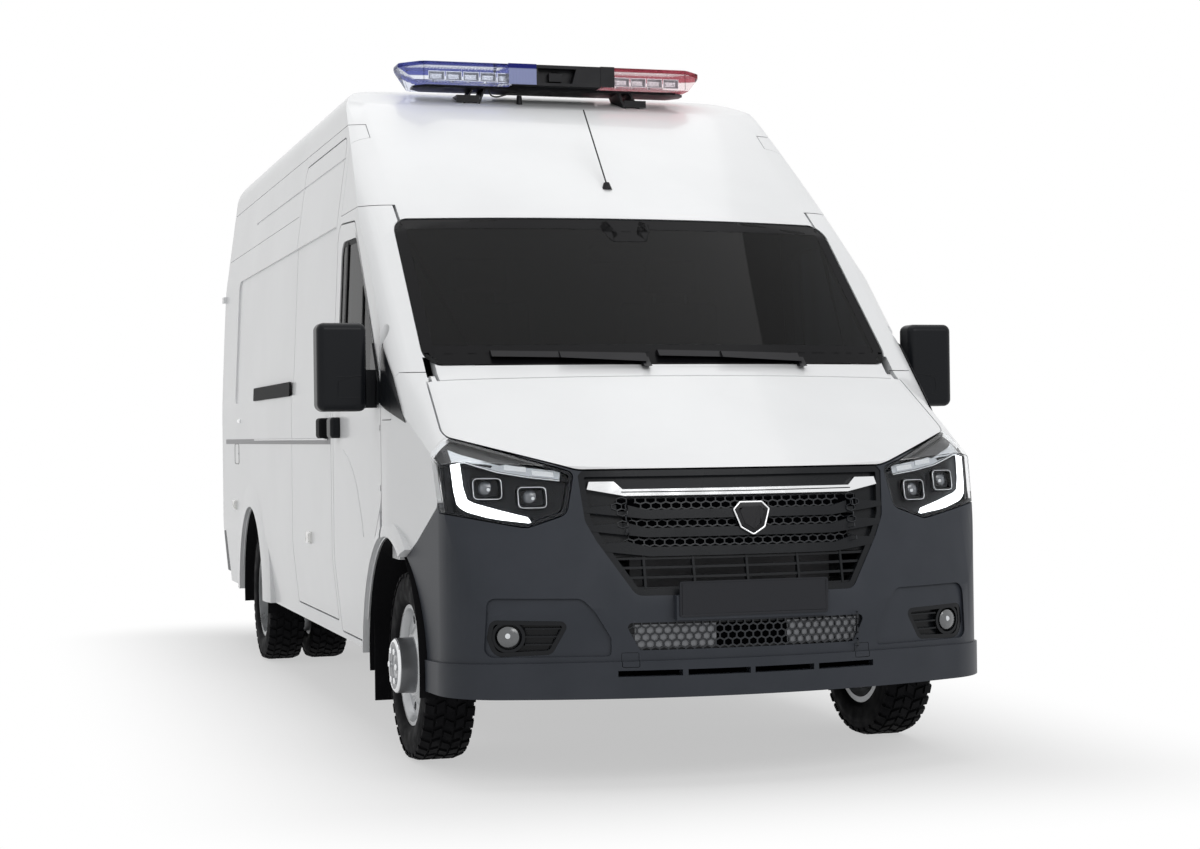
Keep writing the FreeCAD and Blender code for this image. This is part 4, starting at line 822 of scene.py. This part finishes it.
def set_on_axle(piece, side, x, axle, carrier):
    """Put a piece spun about the X axis on its wheel, outer face outwards."""
    piece.location = spot(side * x, axle, WHEEL_HEIGHT)
    if side < 0:
        piece.rotation_euler = (0, 0, math.pi)
    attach(piece, carrier)


def fit_tyre(name, side, x, axle, carrier, node):
    tyre = bpy.data.objects.new(name, block_tyre)
    bpy.context.scene.collection.objects.link(tyre)
    shade(tyre)
    set_on_axle(tyre, side, x, axle, carrier)
    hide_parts(node)


def wheel_nuts():
    """Six chamfered hexagon nuts on the hub's circle."""
    form = bmesh.new()
    for across, up in hoop(60, 6):
        rows = [[form.verts.new(Vector((130 + reach, across + u, up + v)) / 1000)
                 for u, v in hoop(radius, 6)]
                for reach, radius in ((0, 13), (14, 13), (17, 10), (17, 2))]
        for low, high in zip(rows, rows[1:]):
            for k in range(6):
                form.faces.new((low[k], low[(k + 1) % 6], high[(k + 1) % 6], high[k]))
    return form


block_tyre = tyre_mesh()
hub_grey = new_finish("hub_cap_grey", (0.22, 0.225, 0.235), 0.32, metallic=0.8,
                      grain=(600, 0.0001))
HUB_CAP = [(73, 100.7), (129.6, 98.7), (138.7, 88.6), (138.9, 84), (136, 66), (135.4, 50),
           (132, 46), (130, 30), (128.8, 12), (128.6, 1)]
BRIGHT_RING = [(131, 97), (134, 96.5), (139.4, 90), (140, 87.5), (139.4, 85), (137, 84)]
for side, hand in SIDES:
    carrier = "front_wheel_" + hand
    fit_tyre("tyre_front_" + hand, side, FRONT_WHEEL_X, FRONT_AXLE, carrier,
             "front_tyre_" + hand)
    for name, form, finish in (("hub_cap_", spun(HUB_CAP, 64), hub_grey),
                               ("hub_ring_", spun(BRIGHT_RING, 64), plated),
                               ("wheel_nuts_", wheel_nuts(), plated)):
        set_on_axle(make(name + hand, form, finish, carrier), side, FRONT_WHEEL_X, FRONT_AXLE,
                    carrier)
    for number, x in enumerate(REAR_WHEEL_X):
        fit_tyre("tyre_rear_%d_%s" % (number, hand), side, x, REAR_AXLE,
                 "rear_wheels_" + hand, "rear_tyres_" + hand)

# ---------------------------------------------------------------------- light bar
# Polycarbonate halves, blue and red above and almost clear below, over rows of
# reflector modules; black centre with a speaker horn, tray and feet.
dress(trim_black, "lightbar_body")


def height_level(finish, low, high):
    """From 0 at one height to 1 at another."""
    split = over_piece(finish, "ShaderNodeSeparateXYZ")
    level = add_node(finish, "ShaderNodeMapRange", From_Min=low, From_Max=high)
    join(finish, split, "Z", level, "Value")
    return level


def add_ribs(finish, scale, height, strength, **pattern):
    ribs = over_piece(finish, "ShaderNodeTexWave", Scale=scale, **pattern)
    raise_relief(finish, ribs, height, strength)


def two_tone_lens(name, deep, pale, clear=0.92):
    """Lens moulded deep at the top and nearly clear below the joint line."""
    finish = new_finish(name, pale, 0.05, IOR=1.1, Transmission_Weight=clear)
    blend = add_node(finish, "ShaderNodeMix", data_type="RGBA")
    blend.inputs[6].default_value = (*pale, 1)
    blend.inputs[7].default_value = (*deep, 1)
    join(finish, height_level(finish, 2.755, 2.759), "Result", blend, 0)
    join(finish, blend, 2, shader_of(finish), "Base Color")
    add_ribs(finish, 22.0, 0.0006, 0.7, Distortion=0.4)
    return finish


DEEP_BLUE = (0.010, 0.014, 0.16)
dress(two_tone_lens("blue_dome", DEEP_BLUE, (0.85, 0.88, 0.97)), "lightbar_blue")
dress(two_tone_lens("red_dome", (0.20, 0.008, 0.015), (0.96, 0.84, 0.85)), "lightbar_red")
# The black middle sits nearer the red end: the blue dome's shell laps over it on
# one side, and a black end cap laps over the red dome on the other.
inner_blue = two_tone_lens("blue_lap", DEEP_BLUE, (0.27, 0.30, 0.50), clear=0.0)
LAP = [(2303.6, 2688), (2303.6, 2752), (2303.6, 2776.5), (2305, 2777.6), (2595, 2777.6),
       (2596.4, 2776.5), (2596.4, 2752), (2596.4, 2688)]
for name, near, far, finish in (("blue_lap", -216, -92, inner_blue),
                                ("black_lap", 199, 262, trim_black)):
    make(name, net([[spot(near + (far - near) * k / 6, y, z) for y, z in LAP]
                    for k in range(7)]), finish, thick=1.2)
module_metal = new_finish("module_reflector", (0.42, 0.43, 0.46), 0.3, metallic=0.7,
                          grain=(400, 0.0005))
diode = new_finish("light_diode", (0.55, 0.57, 0.6), 0.3, Coat_Weight=0.3, grain=(900, 0.0001))
MODULE_X = {"blue": (302, 378, 454, 530, 226), "red": (302, 378, 454, 530)}
MODULE_HEIGHT, MODULE_WIDE, MODULE_HIGH = 2716, 36, 21
DOME_JOINT = [(2304, 2690), (2304, 2774), (2400, 2776), (2500, 2776), (2596, 2774),
              (2596, 2690)]
for side, hand in ((-1, "blue"), (1, "red")):
    shells, chips = bmesh.new(), bmesh.new()
    for centre in MODULE_X[hand]:
        for face, front in ((-1, 2328), (1, 2572)):
            rows = []
            for shrink, back in ((0, 0), (3, 0), (11, 16)):
                wide, high = MODULE_WIDE - shrink, MODULE_HIGH - shrink
                rows.append([shells.verts.new(spot(side * centre + u * wide,
                                                   front - face * back,
                                                   MODULE_HEIGHT + v * high))
                             for u, v in ((-1, -1), (1, -1), (1, 1), (-1, 1))])
            for low, high in zip(rows, rows[1:]):
                for k in range(4):
                    shells.faces.new((low[k], low[(k + 1) % 4], high[(k + 1) % 4], high[k]))
            shells.faces.new(rows[-1])
            for chip in (-18, 0, 18):
                chips.faces.new([chips.verts.new(spot(side * centre + chip + u,
                                                      front - face * 13, MODULE_HEIGHT + v))
                                 for u, v in hoop(5, 8)])
    make("modules_" + hand, shells, module_metal, thick=1.2)
    make("diodes_" + hand, chips, diode, thick=2)
    cord_line("dome_joint_" + hand, [spot(side * 590, y, z) for y, z in DOME_JOINT], 1.0,
              trim_black)
speaker_cone = new_finish("speaker_cone", (0.02, 0.02, 0.021), 0.5, metallic=0.4,
                          grain=(300, 0.0008))
HORN = ((26, 2325), (22, 2331), (10, 2347), (9, 2335), (4, 2331))
make("speaker_horn", net([[spot(u * 1.2, y, 2732 + v * 0.8) for u, v in hoop(radius, 20)]
                          for radius, y in HORN], around=True), speaker_cone)

# ------------------------------------------------------------------- supply cable
# Black rubber flex that feeds the light bar, from its tray down and back up
# into a gland on the roof.
CABLE = [(-0.280, 2.676), (-0.280, 2.661), (-0.270, 2.648), (-0.248, 2.644), (-0.222, 2.651),
         (-0.190, 2.661), (-0.167, 2.664), (-0.152, 2.660), (-0.146, 2.644)]
CABLE_Y = -0.686
cable_sheath = new_finish("cable_sheath", (0.01, 0.01, 0.01), 0.45, grain=(900, 0.00006))
cable_curve = bpy.data.curves.new("supply_cable", "CURVE")
cable_curve.dimensions = "3D"
cable_curve.bevel_depth = 0.0035
cable_curve.resolution_u = 12
flex = cable_curve.splines.new("NURBS")
flex.points.add(len(CABLE) - 1)
for knot, (x, z) in zip(flex.points, CABLE):
    knot.co = (x, CABLE_Y, z, 1)
flex.order_u = 3
flex.use_endpoint_u = True
cable_curve.materials.append(cable_sheath)
supply_cable = hang(bpy.data.objects.new("supply_cable", cable_curve), "body")
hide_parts("lightbar_cable")

# --------------------------------------------------------------------- rear lamps
# Upright rear lamps, reversing, turn and stop chambers in one moulding, screwed
# into the body corners, and the pull handle set in the right rear door.
tail_lens = new_finish("tail_lens", (0.35, 0.012, 0.015), 0.1, Coat_Weight=0.8)
chambers = add_node(tail_lens, "ShaderNodeValToRGB")
chambers.color_ramp.interpolation = "CONSTANT"
reversing, turning = chambers.color_ramp.elements
reversing.color = (0.62, 0.62, 0.60, 1)
turning.position = 0.24
turning.color = (0.70, 0.22, 0.02, 1)
stop = chambers.color_ramp.elements.new(0.48)
stop.color = (0.38, 0.010, 0.014, 1)
join(tail_lens, height_level(tail_lens, 0.79, 1.19), "Result", chambers, "Fac")
join(tail_lens, chambers, "Color", shader_of(tail_lens), "Base Color")
add_ribs(tail_lens, 18.0, 0.0008, 0.6, bands_direction="Z")
dress(tail_lens, "tail_lamps")
door_skin = skin_of("rear_door_right")
handle_rim = outline(oblong(-150, -60, 1085, 1235, 16), 10)
HANDLE_STEPS = ((0, -2), (0, 6), (6, 9), (16, 9), (22, 1))
make("rear_handle_cup", solid([on_rear(door_skin, inset(handle_rim, shrink), rise)
                               for shrink, rise in HANDLE_STEPS]), trim_black,
     "rear_door_right")
GRIP = ((1100, 4), (1108, 16), (1125, 22), (1160, 24), (1195, 22), (1212, 16), (1220, 4))
cord_line("rear_handle_grip", [from_behind(door_skin, -105, z, rise) for z, rise in GRIP], 7,
          trim_black, "rear_door_right")

# ---------------------------------------------------------------------- dashboard
# Grained plastic moulding with its instrument hood, glove lid and screen, and
# the steering wheel with a soft rim.
cab_plastic = new_finish("cab_plastic", (0.028, 0.028, 0.03), 0.6, grain=(900, 0.0002))
dress(cab_plastic, "dashboard", "steering_wheel")
display = new_finish("display_glass", (0.008, 0.009, 0.011), 0.08, Coat_Weight=0.6,
                     worn=(10, 0.05, 0.12))
dash_skin = skin_of("dashboard")
for name, corners, finish in (
        ("centre_screen", oblong(-110, 110, 1190, 1310, 14), display),
        ("glove_lid", oblong(-760, -330, 1100, 1230, 14), cab_plastic)):
    rim = outline(corners, 12)
    make(name, solid([on_rear(dash_skin, inset(rim, shrink), rise, 1900)
                      for shrink, rise in ((0, -2), (0, 6), (4, 8))]), finish)

# -------------------------------------------------------------------------- seats
# Two seats on pressed steel boxes: foam squab, backrest and headrest covered in
# woven cloth, sewn in channels, the headrest on two plated stays.
SEAT_X = 420
seat_cloth = new_finish("seat_cloth", (0.05, 0.052, 0.058), 0.9, Sheen_Weight=0.3,
                        patches=((0.045, 0.047, 0.052), (0.06, 0.062, 0.07), 30))
add_ribs(seat_cloth, 160.0, 0.0006, 0.8, Distortion=1.5)
seat_box = new_finish("seat_box_paint", (0.02, 0.02, 0.021), 0.6, grain=(400, 0.0002))


def blow_up(pad, cap):
    """Swell a pad by cloth simulation, each point by no more than the cap."""
    scene = bpy.context.scene
    before = [vertex.co.copy() for vertex in pad.data.vertices]
    cloth = pad.modifiers.new("cloth", "CLOTH")
    cloth.settings.use_pressure = True
    cloth.settings.uniform_pressure_force = 4
    cloth.settings.effector_weights.gravity = 0
    for moment in range(1, 21):
        scene.frame_set(moment)
    blown = pad.evaluated_get(bpy.context.evaluated_depsgraph_get()).data
    after = [vertex.co.copy() for vertex in blown.vertices]
    pad.modifiers.remove(cloth)
    scene.frame_set(1)
    for vertex, old, new in zip(pad.data.vertices, before, after):
        step = new - old
        if step.length > cap:
            step *= cap / step.length
        vertex.co = old + step


def foam(name, size, seams, cap):
    """A foam cushion blown up by cloth simulation, then pinched along its sewn seams."""
    form = bmesh.new()
    bmesh.ops.create_cube(form, size=1)
    bmesh.ops.scale(form, vec=size, verts=form.verts)
    mesh = bpy.data.meshes.new(name)
    form.to_mesh(mesh)
    form.free()
    pad = bpy.data.objects.new(name, mesh)
    bpy.context.scene.collection.objects.link(pad)
    round_off = pad.modifiers.new("round", "BEVEL")
    round_off.width = min(size) * 0.3
    round_off.segments = 4
    grid = pad.modifiers.new("grid", "REMESH")
    grid.mode = "VOXEL"
    grid.voxel_size = 0.012
    for modifier in ("round", "grid"):
        with bpy.context.temp_override(object=pad, active_object=pad):
            bpy.ops.object.modifier_apply(modifier=modifier)
    blow_up(pad, cap)
    for vertex in pad.data.vertices:
        for axis, line in seams:
            gap = abs(vertex.co[axis] - line)
            if gap < 0.03:
                vertex.co.z -= 0.010 * (1 - gap / 0.03) ** 2 * (1 if vertex.co.z > 0 else -1)
    smooth = pad.modifiers.new("smooth", "SUBSURF")
    smooth.levels = smooth.render_levels = 1
    pad.data.materials.append(seat_cloth)
    for face in pad.data.polygons:
        face.use_smooth = True
    return pad


# each pad's width, depth and thickness, seams (axis, place), cap, place (y, z) and lean
PADS = [("seat_cushion", (0.47, 0.47, 0.105), ((0, -0.13), (0, 0.13), (1, 0.05)), 0.016,
         (1795, 1080), 0),
        ("seat_backrest", (0.45, 0.56, 0.080), ((0, -0.12), (0, 0.12), (1, -0.1)), 0.012,
         (2030, 1458), 80.5),
        ("seat_headrest", (0.235, 0.145, 0.062), (), 0.008, (2052, 1836), 88)]
for name, size, seams, cap, (y, z), lean in PADS:
    right = foam(name + "_right", size, seams, cap)
    left = right.copy()
    left.name = name + "_left"
    bpy.context.scene.collection.objects.link(left)
    for side, piece in ((-1, right), (1, left)):
        piece.location = spot(side * SEAT_X, y, z)
        piece.rotation_euler = (math.radians(lean), 0, 0)
        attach(piece, "body")
        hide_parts("seats")
for side, hand in SIDES:
    middle = side * SEAT_X
    ring = outline(oblong(middle - 225, middle + 225, 1570, 2035, 20), 40)
    box = make("seat_box_" + hand, solid([[spot(p.x, p.y, z) for p in inset(ring, shrink)]
                                          for shrink, z in ((0, 722), (8, 1000), (16, 1008))]),
               seat_box)
    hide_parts("seats")
    for stay in (-70, 70):
        cord_line("headrest_stay_%d_%s" % (stay + 70, hand),
                  [spot(middle + stay, 2050, z) for z in (1715, 1765, 1800)], 6, plated)

# ------------------------------------------------------------------------- studio
# Pale floor that keeps the shadow and fades to white round it, soft overhead,
# nose and side light, and the camera.
eye = Vector((-2.493, -9.677, 1.165))
yaw, pitch, roll = (math.radians(angle) for angle in (16.7, 0.28, -0.73))
ahead = Vector((math.sin(yaw) * math.cos(pitch), math.cos(yaw) * math.cos(pitch),
                math.sin(pitch)))
across = Vector((math.cos(yaw), -math.sin(yaw), 0))
up = across.cross(ahead)
right = across * math.cos(roll) + up * math.sin(roll)
top = up * math.cos(roll) - across * math.sin(roll)
lens_data = bpy.data.cameras.new("studio_camera")
lens_data.lens = 63.7
lens_data.sensor_width = 36
lens_data.clip_end = 200
camera = bpy.data.objects.new("studio_camera", lens_data)
camera.matrix_world = Matrix([*zip(right, top, -ahead, eye), (0, 0, 0, 1)])
bpy.context.scene.collection.objects.link(camera)
bpy.context.scene.camera = camera


def white_to_eye(tree):
    """1 for camera, glossy and transmission rays, 0 for light on the van."""
    rays = tree.nodes.new("ShaderNodeLightPath")
    level = rays.outputs["Is Camera Ray"]
    for kind in ("Is Glossy Ray", "Is Transmission Ray"):
        either = tree.nodes.new("ShaderNodeMath")
        either.operation = "MAXIMUM"
        tree.links.new(level, either.inputs[0])
        tree.links.new(rays.outputs[kind], either.inputs[1])
        level = either.outputs["Value"]
    return level


floor_paint = new_finish("studio_floor", (0.8, 0.8, 0.8), 0.8, gloss=0.0)
tree = floor_paint.node_tree
spread = over_piece(floor_paint, "ShaderNodeVectorMath", operation="ABSOLUTE")
under = add_node(floor_paint, "ShaderNodeVectorMath", operation="SUBTRACT")
under.inputs[1].default_value = (0.9, 3.0, 0)
beyond = add_node(floor_paint, "ShaderNodeVectorMath", operation="MAXIMUM")
reach = add_node(floor_paint, "ShaderNodeVectorMath", operation="LENGTH")
fade = add_node(floor_paint, "ShaderNodeMapRange", interpolation_type="SMOOTHSTEP",
                From_Min=0.0, From_Max=1.2, To_Min=0.52)
seen = add_node(floor_paint, "ShaderNodeMath", operation="MULTIPLY")
glow = add_node(floor_paint, "ShaderNodeEmission")
blend = add_node(floor_paint, "ShaderNodeMixShader")
for source, output, target, socket in (
        (spread, "Vector", under, 0), (under, "Vector", beyond, 0),
        (beyond, "Vector", reach, 0), (reach, "Value", fade, "Value"),
        (fade, "Result", seen, 0), (seen, "Value", blend, "Fac"),
        (shader_of(floor_paint), "BSDF", blend, 1), (glow, "Emission", blend, 2),
        (blend, "Shader", tree.nodes["Material Output"], "Surface")):
    join(floor_paint, source, output, target, socket)
tree.links.new(white_to_eye(tree), seen.inputs[1])
floor_mesh = bpy.data.meshes.new("studio_floor")
floor_mesh.from_pydata([(-40, -40, 0), (40, -40, 0), (40, 40, 0), (-40, 40, 0)], [],
                       [(0, 1, 2, 3)])
floor_mesh.materials.append(floor_paint)
floor = bpy.data.objects.new("studio_floor", floor_mesh)
bpy.context.scene.collection.objects.link(floor)

for name, stand, aim, width, height, power in (
        ("top_softbox", (0, 0, 7.5), (0, 0, 0), 7, 10, 210),
        ("nose_softbox", (1.5, -9, 5.5), (0, -2, 1.2), 6, 3, 200),
        ("side_softbox", (-8, 0, 6.0), (0, 0, 2.0), 9, 2, 40)):
    lamp = bpy.data.lights.new(name, "AREA")
    lamp.shape = "RECTANGLE"
    lamp.size, lamp.size_y = width, height
    lamp.energy = power
    light = bpy.data.objects.new(name, lamp)
    light.location = stand
    light.rotation_euler = (Vector(aim) - Vector(stand)).to_track_quat("-Z", "Y").to_euler()
    bpy.context.scene.collection.objects.link(light)

world = bpy.data.worlds.new("studio")
world.use_nodes = True
tree = world.node_tree
dim, white = tree.nodes["Background"], tree.nodes.new("ShaderNodeBackground")
for sky, strength in ((dim, 0.45), (white, 1.0)):
    sky.inputs["Color"].default_value = (1, 1, 1, 1)
    sky.inputs["Strength"].default_value = strength
blend = tree.nodes.new("ShaderNodeMixShader")
tree.links.new(white_to_eye(tree), blend.inputs["Fac"])
tree.links.new(dim.outputs["Background"], blend.inputs[1])
tree.links.new(white.outputs["Background"], blend.inputs[2])
tree.links.new(blend.outputs["Shader"], tree.nodes["World Output"].inputs["Surface"])
bpy.context.scene.world = world
bpy.context.scene.view_settings.view_transform = "Standard"
